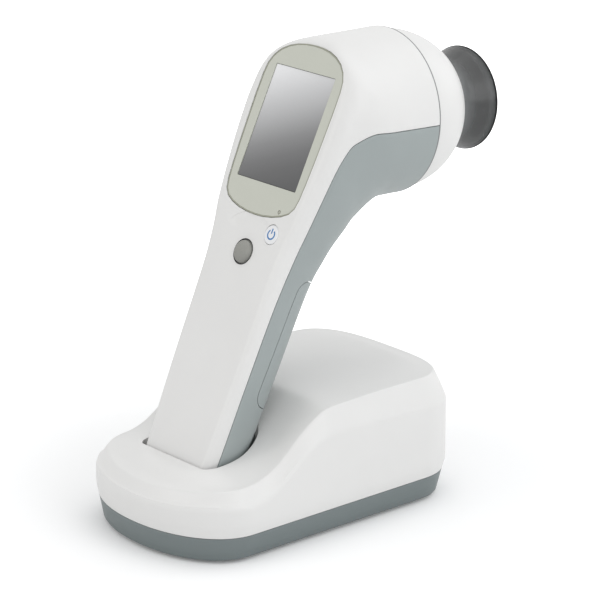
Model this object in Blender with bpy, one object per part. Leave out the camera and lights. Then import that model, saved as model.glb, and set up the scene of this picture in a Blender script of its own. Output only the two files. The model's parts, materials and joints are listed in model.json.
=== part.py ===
"""Hand-held full-field retina tester standing in its charging dock.

Every solid is drawn in millimetres, in a frame whose Y = 0 lies under the
middle of the screen, and is moved to metres in the part's frame at the end.
The part's frame: +X is the operator's right, +Y runs from the dock's nose
to its rear and on to the eyecup, +Z is up, Z = 0 is the table.
"""
import math

import bmesh
import bpy
from mathutils import Matrix
from mathutils import Vector

MM = 0.001
TAU = 2.0 * math.pi

# ---------------------------------------------------------------- sizes, mm
LEAN_DEG = 26.4            # screen leans back from upright
SCREEN_Z = 163.4           # height of the screen's middle
SCREEN_W = 36.8            # visible screen
SCREEN_H = 49.0
LIFT_LEAN_DEG = 25.3       # handle's own lean, and the way it leaves the dock

WALL = 2.2                 # handpiece wall
SEAM = 0.15                # half of every visible parting gap
CLEAR = 0.3                # clearance between neighbouring pieces
WIDTH_SCALE = 1.0          # handpiece width factor

BARREL_R = 35.4            # head barrel
BARREL_Y = 53.74           # end of the barrel, on its axis
BARREL_Z = 161.7
BARREL_TILT_DEG = -3.0     # barrel axis points slightly down
BARREL_DROP = 0.055        # how fast the barrel's top falls towards the screen
DOME_R = 34.5              # white dome at the seam
DOME_LENGTH = 31.8         # length the dome's curve would need to close
DOME_END = 25.6            # where the dome stops at its mouth
DOME_WALL = 2.4
DOME_P = 1.95
DOME_Q = 2.75
MOUTH_R = 17.2             # viewing opening

CUP_RIM_H = 46.4           # eyecup rim beyond the seam
CUP_RIM_R = 22.3
CUP_WALL = 1.3
CUP_NECK_R = 18.6
CUP_WAIST_R = 16.4
CUP_TRAVEL = 18.0

BOWL_R = 27.0              # inside of the reflecting bowl
BOWL_WALL = 1.4
BOWL_PORT_R = 5.0
LED_RING_R = 8.0
LED_PORT_R = 1.1

FACE_PLATE_SINK = 0.25     # display frame under the front face
FACE_PLATE_T = 1.0
POCKET_DEPTH = 1.5
LCD_W = 42.0
LCD_H = 57.0
LCD_T = 3.0

POWER_U = 13.4             # power button
POWER_V = -43.7
POWER_R = 4.1
POWER_TRAVEL = 0.6
STICK_V = -53.9            # joystick
STICK_R = 5.0
STICK_HOLE_R = 5.6
STICK_PIVOT_DEPTH = 1.5
LIGHT_U = 13.4             # status light
LIGHT_V = -34.1
LIGHT_R = 0.75

CHASSIS_TOP = -6.2         # inner frame, front and back faces (n)
CHASSIS_BACK = -7.9
BOARD_T = 1.6

DOOR_TOP = -56.5           # battery door, along the handle (v)
DOOR_LOW = -112.0
DOOR_TOP_GAP = 0.3         # extra room above the door, for its swing
DOOR_EDGE = -15.8          # door's side edges, depth (n)
CELL_W = 29.0
CELL_T = 12.4

HANDLE_END = -157.0        # lower end of the handle (v)
CAP_T = 3.4

DOCK_HALF_W = 45.9         # dock at its widest, z = DOCK_BELT_Z
DOCK_FLOOR_HALF_W = 42.3
DOCK_SPLIT_Z = 11.9        # white over grey
DOCK_BELT_Z = 17.0
DOCK_BASE_Z = 1.2
NOSE_DEPTH = 29.0
NOSE_Y = -84.1             # front of the dock
STRAIGHT_Y0 = -55.1
STRAIGHT_Y1 = 38.6
REAR_DEPTH = 26.0
DOCK_WALL = 2.5
BEVEL_W = 5.0
SLOT_CLEAR = 0.9           # slot round the handle
LINER_WALL = 1.6
FOOT_R = 6.0
FOOT_T = 1.4

# Handle and head: one row per cross-section plane, along the length.
# (station, front v, front n, back v, back n, front-to-parting, half-width,
#  flat half-width in front, flat half-width behind, front power, back power)
SECTIONS = (
    (-157.0, -157.0, -3.6, -157.0, -28.6, 5.3, 20.2, 16.6, 9.0, 2.0, 2.6),
    (-139.0, -139.0, -3.1, -139.0, -28.6, 5.7, 20.9, 17.3, 9.0, 2.0, 2.6),
    (-110.0, -110.0, -2.4, -110.0, -28.6, 5.2, 22.1, 18.4, 9.0, 2.0, 2.6),
    (-90.0, -90.0, -2.0, -90.0, -28.5, 5.0, 22.8, 18.9, 9.0, 2.0, 2.6),
    (-75.0, -75.0, -1.55, -75.0, -28.4, 5.2, 23.2, 19.0, 9.0, 2.0, 2.6),
    (-62.0, -62.0, -1.15, -62.0, -28.5, 5.8, 23.7, 19.3, 9.0, 2.0, 2.6),
    (-48.4, -48.4, -0.6, -55.6, -29.0, 6.4, 25.0, 20.6, 8.5, 2.0, 2.5),
    (-34.8, -34.8, -0.1, -49.1, -30.2, 7.0, 27.2, 23.2, 8.0, 2.1, 2.4),
    (-21.2, -21.2, 0.0, -42.7, -32.2, 7.4, 29.2, 24.4, 7.0, 2.1, 2.3),
    (-7.6, -7.6, 0.0, -36.5, -35.0, 8.2, 30.8, 25.0, 6.0, 2.2, 2.3),
    (6.0, 6.0, 0.0, -30.4, -38.2, 11.0, 32.2, 25.2, 4.5, 2.2, 2.2),
    (19.6, 19.6, 0.0, -25.0, -42.1, 18.8, 33.8, 25.0, 3.0, 2.2, 2.1),
    (28.0, 28.0, 0.0, -21.9, -44.8, 25.0, 34.8, 22.4, 1.5, 2.1, 2.0),
    (33.2, 33.2, 0.0, -19.5, -46.6, 30.8, 35.2, 15.5, 0.6, 2.0, 2.0),
    (36.0, 35.8, -0.16, -17.9, -47.9, 33.6, 35.3, 9.5, 0.2, 2.0, 2.0),
    (39.7, 38.0, -1.15, -16.9, -48.9, 35.0, 35.4, 4.0, 0.05, 2.0, 2.0),
    (43.5, 39.9, -3.5, -16.1, -49.9, 35.6, 35.4, 1.0, 0.05, 2.0, 2.0),
)
# head barrel sections: (station, distance before the seam, plane's lean)
BARREL_SECTIONS = ((47.5, 21.6, 14.0), (57.0, 13.0, 8.5), (66.0, 6.0, 3.5), (74.0, 0.15, 0.0))
STATION_LIST = (-157.0, -148.0, -139.0, -125.0, -110.0, -98.0, -86.0, -75.0, -66.0, -59.0,
                -52.0, -45.0, -38.0, -31.0, -24.0, -17.0, -10.0, -3.0, 4.0, 11.0, 18.0,
                24.0, 29.0, 33.0, 35.5, 37.6, 39.7, 42.0, 44.5, 47.5, 52.0, 57.0, 66.0, 74.0)

# Display frame outline, right half, (u, v) from the top down
FRAME_HALF = ((0.0, 35.6), (5.0, 35.35), (10.0, 34.5), (14.5, 33.0), (18.5, 30.7), (21.5, 27.6),
              (23.3, 24.0), (24.0, 19.5), (24.1, 10.0), (23.9, 0.0), (23.6, -10.0), (23.1, -20.0),
              (22.5, -27.0), (21.5, -31.0), (19.3, -33.7), (15.5, -35.6), (10.5, -37.0),
              (5.0, -37.8), (0.0, -38.0))

# Dock top over its middle, at the shoulder, and at the bevel's foot, (y, z)
DOCK_TOP = ((-84.1, 31.0), (-78.0, 32.4), (-70.0, 33.7), (-62.0, 34.4), (-52.0, 34.8), (-44.0, 35.8),
            (-37.0, 38.0), (-30.0, 41.3), (-25.0, 44.8), (-21.0, 48.0), (-16.0, 52.8), (-13.6, 55.0),
            (-11.0, 56.0), (-4.0, 56.6), (10.0, 57.0), (30.0, 57.1), (48.0, 56.8), (66.0, 55.8))
DOCK_SHOULDER = ((-84.1, 27.8), (-78.0, 29.2), (-68.0, 30.7), (-60.0, 31.1), (-52.0, 31.8), (-45.0, 33.7),
                 (-38.6, 37.2), (-33.7, 41.0), (-29.5, 44.8), (-24.0, 48.9), (-19.0, 52.0),
                 (-14.5, 54.2), (-10.0, 55.0), (0.0, 55.4), (20.0, 55.8), (41.0, 55.8), (66.0, 54.8))
DOCK_BEVEL_FOOT = ((-84.1, 22.6), (-71.0, 24.0), (-55.0, 23.8), (-48.4, 24.8), (-42.0, 28.2), (-35.6, 33.1),
                   (-30.0, 37.3), (-25.0, 40.8), (-19.5, 43.2), (-14.6, 44.6), (0.0, 45.2),
                   (46.0, 43.8), (66.0, 43.2))
MIDDLE_WIDTH = 18.0        # from the shoulder in to the middle's height


def smooth_rows(rows, x):
    """Monotone cubic interpolation of a table whose first column is x."""
    count = len(rows)
    if x <= rows[0][0]:
        return list(rows[0][1:])
    if x >= rows[-1][0]:
        return list(rows[-1][1:])
    i = 0
    while rows[i + 1][0] < x:
        i += 1
    h = rows[i + 1][0] - rows[i][0]
    t = (x - rows[i][0]) / h

    def slope(k, c):
        if k == 0 or k == count - 1:
            a = 1 if k == 0 else k
            return (rows[a][c] - rows[a - 1][c]) / (rows[a][0] - rows[a - 1][0])
        d0 = (rows[k][c] - rows[k - 1][c]) / (rows[k][0] - rows[k - 1][0])
        d1 = (rows[k + 1][c] - rows[k][c]) / (rows[k + 1][0] - rows[k][0])
        if d0 * d1 <= 0.0:
            return 0.0
        w0 = 2 * (rows[k + 1][0] - rows[k][0]) + (rows[k][0] - rows[k - 1][0])
        w1 = (rows[k + 1][0] - rows[k][0]) + 2 * (rows[k][0] - rows[k - 1][0])
        return (w0 + w1) / (w0 / d0 + w1 / d1)

    out = []
    for c in range(1, len(rows[0])):
        m0 = slope(i, c) * h
        m1 = slope(i + 1, c) * h
        a = rows[i][c]
        b = rows[i + 1][c]
        out.append((2 * t ** 3 - 3 * t ** 2 + 1) * a + (t ** 3 - 2 * t ** 2 + t) * m0
                   + (-2 * t ** 3 + 3 * t ** 2) * b + (t ** 3 - t ** 2) * m1)
    return out


def frame_matrix(origin, x_dir, y_dir, z_dir):
    m = Matrix((x_dir, y_dir, z_dir)).transposed().to_4x4()
    m.translation = Vector(origin)
    return m


LEAN = math.radians(LEAN_DEG)
X_AXIS = Vector((1.0, 0.0, 0.0))
FACE_V = Vector((0.0, math.sin(LEAN), math.cos(LEAN)))
FACE_N = Vector((0.0, -math.cos(LEAN), math.sin(LEAN)))
FACE = frame_matrix((0.0, 0.0, SCREEN_Z), X_AXIS, FACE_V, FACE_N)

TILT = math.radians(BARREL_TILT_DEG)
HEAD_H = Vector((0.0, math.cos(TILT), math.sin(TILT)))
HEAD_G = Vector((0.0, -math.sin(TILT), math.cos(TILT)))
HEAD = frame_matrix((0.0, BARREL_Y, BARREL_Z), X_AXIS, -HEAD_G, HEAD_H)

LIFT = math.radians(LIFT_LEAN_DEG)
LIFT_DIR = Vector((0.0, math.sin(LIFT), math.cos(LIFT)))
LIFT_N = Vector((0.0, -math.cos(LIFT), math.sin(LIFT)))
WORLD = Matrix.Identity(4)


def face_point(u, v, n):
    return FACE @ Vector((u, v, n))


HANDLE_MID = (0.0, HANDLE_END, -17.5)
LIFT_ORIGIN = face_point(*HANDLE_MID)
SLOT = frame_matrix(LIFT_ORIGIN, X_AXIS, LIFT_DIR, LIFT_N)

for old in list(bpy.data.objects):
    bpy.data.objects.remove(old, do_unlink=True)

MATERIALS = {}


def material(name, color, rough, metal=0.0, alpha=1.0):
    m = bpy.data.materials.new(name)
    m.use_nodes = True
    b = m.node_tree.nodes["Principled BSDF"]
    b.inputs["Base Color"].default_value = (color[0], color[1], color[2], 1.0)
    b.inputs["Roughness"].default_value = rough
    b.inputs["Metallic"].default_value = metal
    b.inputs["Alpha"].default_value = alpha
    MATERIALS[name] = m
    return m


SOLIDS = []


def add_mesh(name, verts, faces, mat, smooth=False):
    """One closed body in millimetres, faces turned outwards."""
    me = bpy.data.meshes.new(name)
    bm = bmesh.new()
    made = [bm.verts.new(v) for v in verts]
    for f in faces:
        loop = []
        for i in f:
            if made[i] not in loop:
                loop.append(made[i])
        if len(loop) > 2:
            bm.faces.new(loop)
    bmesh.ops.remove_doubles(bm, verts=bm.verts[:], dist=1e-6)
    bmesh.ops.recalc_face_normals(bm, faces=bm.faces[:])
    if bm.calc_volume(signed=True) < 0.0:
        bmesh.ops.reverse_faces(bm, faces=bm.faces[:])
    bm.to_mesh(me)
    bm.free()
    ob = bpy.data.objects.new(name, me)
    bpy.context.scene.collection.objects.link(ob)
    if mat is not None:
        own = material(name + "_material", *mat)
        me.materials.append(own)
        SOLIDS.append(ob)
    ob["smooth"] = 1 if smooth else 0
    return ob


def prism(name, outline, z0, z1, frame, mat=None, smooth=False, taper=0.0):
    """Outline in the frame's XY, drawn from z0 to z1 along its Z."""
    n = len(outline)
    verts = [frame @ Vector((p[0], p[1], z0)) for p in outline]
    verts += [frame @ Vector((p[0] * (1.0 - taper), p[1] * (1.0 - taper), z1)) for p in outline]
    faces = [list(range(n)), list(range(n, 2 * n))]
    faces += [[i, (i + 1) % n, n + (i + 1) % n, n + i] for i in range(n)]
    return add_mesh(name, verts, faces, mat, smooth)


def rounded_rect(cx, cy, w, h, r, steps=4):
    pts = []
    corners = ((w / 2 - r, h / 2 - r, 0), (-w / 2 + r, h / 2 - r, 1),
               (-w / 2 + r, -h / 2 + r, 2), (w / 2 - r, -h / 2 + r, 3))
    for x, y, q in corners:
        for i in range(steps + 1):
            a = (q + i / steps) * math.pi / 2
            pts.append((cx + x + r * math.cos(a), cy + y + r * math.sin(a)))
    return pts


def circle(cx, cy, r, steps=32):
    return [(cx + r * math.cos(TAU * i / steps), cy + r * math.sin(TAU * i / steps)) for i in range(steps)]


def revolve(name, profile, frame, mat=None, steps=48, centre=(0.0, 0.0), smooth=True):
    """Closed or axis-touching profile of (radius, height) about the frame's Z."""
    verts = []
    index = []
    for r, z in profile:
        if r < 1e-6:
            index.append([len(verts)] * steps)
            verts.append(frame @ Vector((centre[0], centre[1], z)))
        else:
            row = []
            for i in range(steps):
                a = TAU * i / steps
                row.append(len(verts))
                verts.append(frame @ Vector((centre[0] + r * math.cos(a), centre[1] + r * math.sin(a), z)))
            index.append(row)
    faces = []
    count = len(profile)
    closed = profile[0][0] > 1e-6
    for k in range(count if closed else count - 1):
        a = index[k]
        b = index[(k + 1) % count]
        for i in range(steps):
            j = (i + 1) % steps
            faces.append([a[i], a[j], b[j], b[i]])
    return add_mesh(name, verts, faces, mat, smooth)


def boolean(target, cutter, operation="DIFFERENCE", keep=False):
    mod = target.modifiers.new("cut", "BOOLEAN")
    mod.operation = operation
    mod.solver = "EXACT"
    mod.object = cutter
    deps = bpy.context.evaluated_depsgraph_get()
    deps.update()
    result = bpy.data.meshes.new_from_object(target.evaluated_get(deps))
    target.modifiers.clear()
    old = target.data
    target.data = result
    bpy.data.meshes.remove(old)
    if not keep:
        bpy.data.objects.remove(cutter, do_unlink=True)
    bm = bmesh.new()
    bm.from_mesh(target.data)
    bmesh.ops.remove_doubles(bm, verts=bm.verts[:], dist=2e-5)
    bmesh.ops.dissolve_degenerate(bm, edges=bm.edges[:], dist=1e-5)
    bm.to_mesh(target.data)
    bm.free()
    return target


# ------------------------------------------------------------ handpiece skin
def barrel_row(s, before, lean):
    """Cross-section of the barrel cut by a plane leaning towards the operator."""
    c = Vector((0.0, BARREL_Y, BARREL_Z)) - HEAD_H * before
    a = math.radians(lean)
    d = HEAD_G * math.cos(a) - HEAD_H * math.sin(a)
    half = BARREL_R / math.cos(a)
    inv = FACE.inverted()
    top = (BARREL_R - BARREL_DROP * before) / math.cos(a)
    f = inv @ (c + d * top)
    b = inv @ (c - d * half)
    return (s, f.y, f.z, b.y, b.z, top, BARREL_R, 0.05, 0.05, 2.0, 2.0)


def on_axis(row):
    """The same row with its parting line moved onto the barrel's axis."""
    f = face_point(0.0, row[1], row[2])
    d = (face_point(0.0, row[3], row[4]) - f).normalized()
    rel = Vector((0.0, BARREL_Y, BARREL_Z)) - f
    t = (rel.y * HEAD_H.z - rel.z * HEAD_H.y) / (d.y * HEAD_H.z - d.z * HEAD_H.y)
    return row[:5] + (t,) + row[6:]


ROWS = [on_axis(r) if r[0] > 33.0 else r for r in SECTIONS] + [barrel_row(*r) for r in BARREL_SECTIONS]


def section(s, inset):
    """Section at station s: the frame of the plane and its outline sizes."""
    fv, fn, bv, bn, part, w, xf, xb, p, q = smooth_rows(ROWS, s)
    f = face_point(0.0, fv, fn)
    b = face_point(0.0, bv, bn)
    d = (f - b).normalized()
    length = (f - b).length
    return {"mid": f - d * part, "d": d, "front": part - inset, "back": length - part - inset,
            "w": w * WIDTH_SCALE - inset, "xf": max(xf * WIDTH_SCALE - 0.6 * inset, 0.05),
            "xb": max(xb * WIDTH_SCALE - 0.4 * inset, 0.05), "p": p, "q": q}


FRONT_STEPS = (1.0, 0.90, 0.79, 0.67, 0.54, 0.40, 0.24, 0.0)


def half_curve(sec, side, gap):
    """Points (x, distance along d) from the centre out to the parting line."""
    deep = sec["front"] if side > 0 else sec["back"]
    flat = sec["xf"] if side > 0 else sec["xb"]
    power = sec["p"] if side > 0 else sec["q"]
    pts = [(0.0, deep), (flat * 0.5, deep)]
    for k in FRONT_STEPS:
        a = k * math.pi / 2
        x = flat + (sec["w"] - flat) * max(math.cos(a), 0.0) ** (2.0 / power)
        y = gap + (deep - gap) * math.sin(a) ** (2.0 / power)
        pts.append((x, y))
    return pts


def skin_row(s, inset, side, gap):
    sec = section(s, inset)
    half = half_curve(sec, side, gap)
    full = [(-x, y) for x, y in reversed(half)] + half[1:]
    return [sec["mid"] + X_AXIS * x + sec["d"] * (side * y) for x, y in full]


def skin(name, side, inset_out, inset_in, gap, stations, mat=None):
    """Half of the handpiece wall: an open trough with its four rims."""
    outer = [skin_row(s, inset_out, side, gap) for s in stations]
    inner = [skin_row(s, inset_in, side, gap) for s in stations]
    m = len(outer)
    n = len(outer[0])
    verts = [p for row in outer for p in row] + [p for row in inner for p in row]
    base = m * n
    faces = []
    for i in range(m - 1):
        for j in range(n - 1):
            a = i * n + j
            faces.append([a, a + 1, a + n + 1, a + n])
            faces.append([base + a, base + a + n, base + a + n + 1, base + a + 1])
        for j in (0, n - 1):
            a = i * n + j
            faces.append([a, a + n, base + a + n, base + a])
    for i in (0, m - 1):
        for j in range(n - 1):
            a = i * n + j
            faces.append([a, base + a, base + a + 1, a + 1])
    return add_mesh(name, verts, faces, mat, True)


def section_outline(s, inset):
    """Whole closed outline of the handle at one station, as (x, along d)."""
    sec = section(s, inset)
    front = half_curve(sec, 1, 0.0)
    back = [(x, -y) for x, y in half_curve(sec, -1, 0.0)]
    right = front + list(reversed(back))[1:]
    left = [(-x, y) for x, y in reversed(right)][1:-1]
    return sec, right + left


WHITE = ((0.80, 0.79, 0.77), 0.38)
GREY = ((0.33, 0.37, 0.36), 0.42)
DOCK_GREY = ((0.25, 0.29, 0.29), 0.45)
BOARD = ((0.02, 0.16, 0.07), 0.5)
BLACK = ((0.02, 0.02, 0.022), 0.45)
STEEL = ((0.55, 0.55, 0.56), 0.3, 1.0)
GOLD = ((0.83, 0.60, 0.25), 0.3, 1.0)

front_shell = skin("front_shell", 1, 0.0, WALL, SEAM, STATION_LIST, WHITE)
rear_shell = skin("rear_shell", -1, 0.0, WALL, SEAM, STATION_LIST, GREY)


def side_outline(v0, v1, n0, n1, r):
    """Rounded outline in the side view, as (v, n), rounded at the n1 corners."""
    pts = [(v0, n0)]
    for i in range(7):
        a = math.pi / 2 * i / 6
        pts.append((v0 + r - r * math.cos(a), n1 - r + r * math.sin(a)))
    for i in range(7):
        a = math.pi / 2 * (1 - i / 6)
        pts.append((v1 - r + r * math.cos(a), n1 - r + r * math.sin(a)))
    pts.append((v1, n0))
    return pts


SIDE = frame_matrix(face_point(0, 0, 0), FACE_V, FACE_N, X_AXIS)


def door_prism(name, grow):
    top = DOOR_TOP + grow - (DOOR_TOP_GAP if grow < 0.0 else 0.0)
    pts = side_outline(DOOR_LOW - grow, top, -50.0, DOOR_EDGE + grow, 6.0 + grow)
    return prism(name, pts, -40.0, 40.0, SIDE)


battery_door = skin("battery_door", -1, 0.0, WALL, SEAM, STATION_LIST[3:14], GREY)
boolean(battery_door, door_prism("door_tool", -SEAM), "INTERSECT")
boolean(rear_shell, door_prism("door_hole", SEAM), "DIFFERENCE")


# Display frame, window and what stands behind them
def frame_outline(grow):
    right = list(FRAME_HALF)
    pts = right + [(-u, v) for u, v in reversed(right[1:-1])]
    out = []
    n = len(pts)
    for i in range(n):
        a = Vector(pts[i - 1])
        b = Vector(pts[(i + 1) % n])
        t = (b - a).normalized()
        out.append((pts[i][0] - t.y * grow, pts[i][1] + t.x * grow))
    return out


def face_cut(name, outline, z0, z1):
    return prism(name, outline, z0, z1, FACE)


boolean(front_shell, face_cut("pocket", frame_outline(0.2), -POCKET_DEPTH, 4.0))
boolean(front_shell, face_cut("window", rounded_rect(0, 0, SCREEN_W + 3.4, SCREEN_H + 3.4, 1.5), -4.0, 1.0))
boolean(front_shell, face_cut("light_hole", circle(LIGHT_U, LIGHT_V, LIGHT_R + 0.25, 20), -4.0, 1.0))
boolean(front_shell, face_cut("power_hole", circle(POWER_U, POWER_V, POWER_R + 0.2, 40), -6.0, 2.0))
boolean(front_shell, face_cut("stick_hole", circle(0, STICK_V, STICK_HOLE_R, 40), -6.0, 2.0))

plate_top = -FACE_PLATE_SINK
plate_low = plate_top - FACE_PLATE_T
display_frame = prism("display_frame", frame_outline(0.0), plate_low, plate_top, FACE,
                      ((0.55, 0.56, 0.46), 0.25))
boolean(display_frame, face_cut("frame_window", rounded_rect(0, 0, SCREEN_W, SCREEN_H, 0.4, 3), -3.0, 1.0))
boolean(display_frame, face_cut("frame_light", circle(LIGHT_U, LIGHT_V, LIGHT_R + 0.2, 20), -3.0, 1.0))
prism("display_window", rounded_rect(0, 0, SCREEN_W - 0.4, SCREEN_H - 0.4, 0.3, 3), plate_low, plate_top - 0.15,
      FACE, ((0.35, 0.35, 0.36), 0.08, 0.0, 0.5))
lcd_top = -WALL - CLEAR
prism("lcd_module", rounded_rect(0, 0, LCD_W, LCD_H, 1.0, 2), lcd_top - LCD_T, lcd_top, FACE,
      ((0.12, 0.12, 0.13), 0.3))
revolve("status_light_pipe", ((0.0, plate_top - 0.05), (LIGHT_R - 0.15, plate_top - 0.05),
                              (LIGHT_R, plate_top - 0.2), (LIGHT_R, -WALL - 2.0), (0.0, -WALL - 2.0)),
        FACE, ((0.75, 0.75, 0.68), 0.2, 0.0, 0.7), 20, (LIGHT_U, LIGHT_V))

# Power button over its switch
power_top = -0.45
flange = -WALL - 0.9
prof = ((0.0, power_top + 0.12), (POWER_R * 0.6, power_top + 0.08), (POWER_R - 0.5, power_top - 0.05),
        (POWER_R, power_top - 0.45), (POWER_R, flange), (POWER_R + 0.8, flange), (POWER_R + 0.8, flange - 0.6),
        (1.2, flange - 0.6), (1.2, flange - 0.9), (0.0, flange - 0.9))
power_button = revolve("power_button", prof, FACE, ((0.82, 0.82, 0.82), 0.35), 28, (POWER_U, POWER_V))
prism("power_switch", rounded_rect(POWER_U, POWER_V, 6.0, 6.0, 0.4, 2), CHASSIS_TOP + 0.2,
      flange - 0.9 - POWER_TRAVEL - 0.15, FACE, BLACK)

# Joystick: cap, rocker and gimbal ring over the switch body
stick_low = -2.2
cap_prof = ((0.0, 0.1), (1.6, 0.02), (3.0, 0.18), (4.0, 0.1), (4.7, -0.45), (STICK_R, -1.0),
            (STICK_R, stick_low + 0.3), (4.7, stick_low), (1.6, stick_low), (1.6, stick_low + 0.9),
            (0.0, stick_low + 0.9))
joystick_cap = revolve("joystick_cap", cap_prof, FACE, ((0.10, 0.095, 0.09), 0.6), 28, (0.0, STICK_V))
rocker_prof = ((0.0, stick_low + 0.45), (1.2, stick_low + 0.45), (1.2, -3.7), (0.0, -3.7))
joystick_rocker = revolve("joystick_rocker", rocker_prof, FACE, STEEL, 20, (0.0, STICK_V))
gimbal_prof = ((1.6, -2.95), (2.5, -2.95), (2.5, -3.7), (1.6, -3.7))
joystick_gimbal = revolve("joystick_gimbal", gimbal_prof, FACE, BLACK, 24, (0.0, STICK_V))
prism("joystick_switch", rounded_rect(0.0, STICK_V, 9.0, 9.0, 0.8, 2), CHASSIS_TOP + 0.2, -4.3, FACE, BLACK)

# Inner frame, main board and the parts on them
chassis = prism("inner_frame", rounded_rect(0.0, -61.0, 33.0, 182.0, 3.0, 3), CHASSIS_BACK, CHASSIS_TOP, FACE,
                ((0.10, 0.10, 0.11), 0.6))
SCREWS = ((-13.0, 22.0), (13.0, 22.0), (-13.0, -47.0), (13.0, -47.0))
board_front = CHASSIS_BACK - CLEAR
main_board = prism("main_board", rounded_rect(0.0, -12.5, 34.0, 77.0, 1.5, 2), board_front - BOARD_T, board_front,
                   FACE, BOARD)
for k, (u, v) in enumerate(SCREWS):
    boolean(chassis, face_cut("hole", circle(u, v, 1.3, 12), -12.0, -4.0))
    boolean(main_board, face_cut("hole", circle(u, v, 1.3, 12), -14.0, -4.0))
    head = board_front - BOARD_T - 0.1
    revolve("board_screw_%d" % (k + 1), ((0.0, head - 1.2), (1.6, head - 1.2), (2.0, head - 0.8), (2.0, head),
                                         (1.0, head), (1.0, CHASSIS_TOP - 0.3), (0.0, CHASSIS_TOP - 0.3)),
            FACE, STEEL, 16, (u, v))
chip_front = board_front - BOARD_T - 0.05
prism("processor", rounded_rect(0.0, -14.0, 14.0, 14.0, 0.4, 2), chip_front - 1.4, chip_front, FACE, BLACK)
revolve("sounder", ((0.0, chip_front - 4.0), (4.4, chip_front - 4.0), (4.4, chip_front), (0.0, chip_front)),
        FACE, BLACK, 24, (0.0, -36.0))

# Battery tray, cell and its two contacts
tray_front = CHASSIS_BACK - 0.4
tray_floor = tray_front - 1.2
tray = prism("battery_tray", rounded_rect(0.0, (DOOR_TOP + DOOR_LOW) / 2, 32.0, 52.0, 2.0, 2), tray_front - 9.0,
             tray_front, FACE, BLACK)
boolean(tray, face_cut("tray_hollow", rounded_rect(0.0, (DOOR_TOP + DOOR_LOW) / 2, CELL_W + 0.8, 49.0, 1.2, 2),
                       tray_front - 12.0, tray_floor))
cell_mid = (DOOR_TOP + DOOR_LOW) / 2
prism("battery_cell", rounded_rect(0.0, cell_mid - 0.8, CELL_W, 46.4, 4.0, 4), tray_floor - 0.3 - CELL_T,
      tray_floor - 0.3, FACE, ((0.10, 0.16, 0.30), 0.45))
for k, u in enumerate((-6.0, 6.0)):
    prism("battery_contact_%d" % (k + 1), rounded_rect(u, cell_mid + 23.4, 3.2, 1.2, 0.2, 1), tray_floor - 7.0,
          tray_floor - 0.3, FACE, GOLD)
charge_board = prism("charge_board", rounded_rect(0.0, -132.0, 29.0, 32.0, 1.5, 2), board_front - BOARD_T,
                     board_front, FACE, BOARD)

# Cap that closes the handle's lower end, with the charging pads
cap_sec, cap_outline = section_outline(HANDLE_END, WALL + CLEAR)
CAP = frame_matrix(cap_sec["mid"], X_AXIS, cap_sec["d"], X_AXIS.cross(cap_sec["d"]))
down = CAP.to_3x3() @ Vector((0, 0, 1))
sign = 1.0 if down.dot(FACE_V) > 0 else -1.0
z_in = sign * CAP_T
handle_cap = prism("handle_end_cap", cap_outline, min(sign * 0.4, z_in), max(sign * 0.4, z_in), CAP, GREY, False)
pad_mid = -6.0
for k, u in enumerate((-6.0, 6.0)):
    boolean(handle_cap, prism("pad_hole", circle(u, pad_mid, 2.3, 20), -6.0, 6.0, CAP))
    prism("charge_pad_%d" % (k + 1), circle(u, pad_mid, 2.0, 20), min(sign * 0.3, sign * (CAP_T + 0.6)),
          max(sign * 0.3, sign * (CAP_T + 0.6)), CAP, GOLD, False)


# Head: dome, reflecting bowl, lights, camera, eyecup
def dome_r(h, r0):
    return r0 * max(1.0 - (h / DOME_LENGTH) ** DOME_P, 0.0) ** (1.0 / DOME_Q)


outer = [(dome_r(h, DOME_R), h) for h in (0.9, 3.0, 6.0, 9.0, 12.0, 15.0, 18.0, 20.5, 22.5, 24.2, DOME_END)]
outer = [(DOME_R - 0.55, SEAM)] + outer
lip = outer[-1][0]
inner = [(MOUTH_R + 1.6, DOME_END + 0.5), (MOUTH_R + 1.6, DOME_END - 1.6), (MOUTH_R + 1.6, DOME_END - 3.4)]
inner += [(dome_r(h, DOME_R) - DOME_WALL, h) for h in (20.2, 17.0, 13.0, 9.0, 4.0)]
inner += [(DOME_R - DOME_WALL - 0.6, SEAM)]
revolve("dome_ring", [(lip - 0.9, DOME_END + 0.5)] + list(reversed(outer)) + list(reversed(inner)), HEAD, WHITE, 56)

bowl_out = BOWL_R + BOWL_WALL
a0 = math.acos(MOUTH_R / BOWL_R)
a1 = -math.acos(BOWL_PORT_R / BOWL_R)
steps = 9
prof = [(BOWL_R * math.cos(a0 + (a1 - a0) * i / steps), BOWL_R * math.sin(a0 + (a1 - a0) * i / steps))
        for i in range(steps + 1)]
b0 = math.acos((MOUTH_R + BOWL_WALL) / bowl_out)
b1 = -math.acos(BOWL_PORT_R / bowl_out)
prof += [(bowl_out * math.cos(b1 + (b0 - b1) * i / steps), bowl_out * math.sin(b1 + (b0 - b1) * i / steps))
         for i in range(steps + 1)]
bowl = revolve("reflecting_bowl", prof, HEAD, ((0.88, 0.88, 0.87), 0.7), 36)
LEDS = ((0.0, (0.75, 0.12, 0.08)), (90.0, (0.10, 0.55, 0.20)), (180.0, (0.10, 0.25, 0.75)),
        (270.0, (0.20, 0.10, 0.22)))
for deg, tint in LEDS:
    a = math.radians(deg)
    boolean(bowl, prism("port", circle(LED_RING_R * math.cos(a), LED_RING_R * math.sin(a), LED_PORT_R, 12),
                        -40.0, -20.0, HEAD))
led_board_h = -bowl_out - CLEAR
revolve("light_board", ((BOWL_PORT_R + 0.6, led_board_h), (24.0, led_board_h), (24.0, led_board_h - 1.4),
                        (BOWL_PORT_R + 0.6, led_board_h - 1.4)), HEAD, BOARD, 40, (0.0, 0.0), False)
names = ("light_red", "light_green", "light_blue", "light_infrared")
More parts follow.
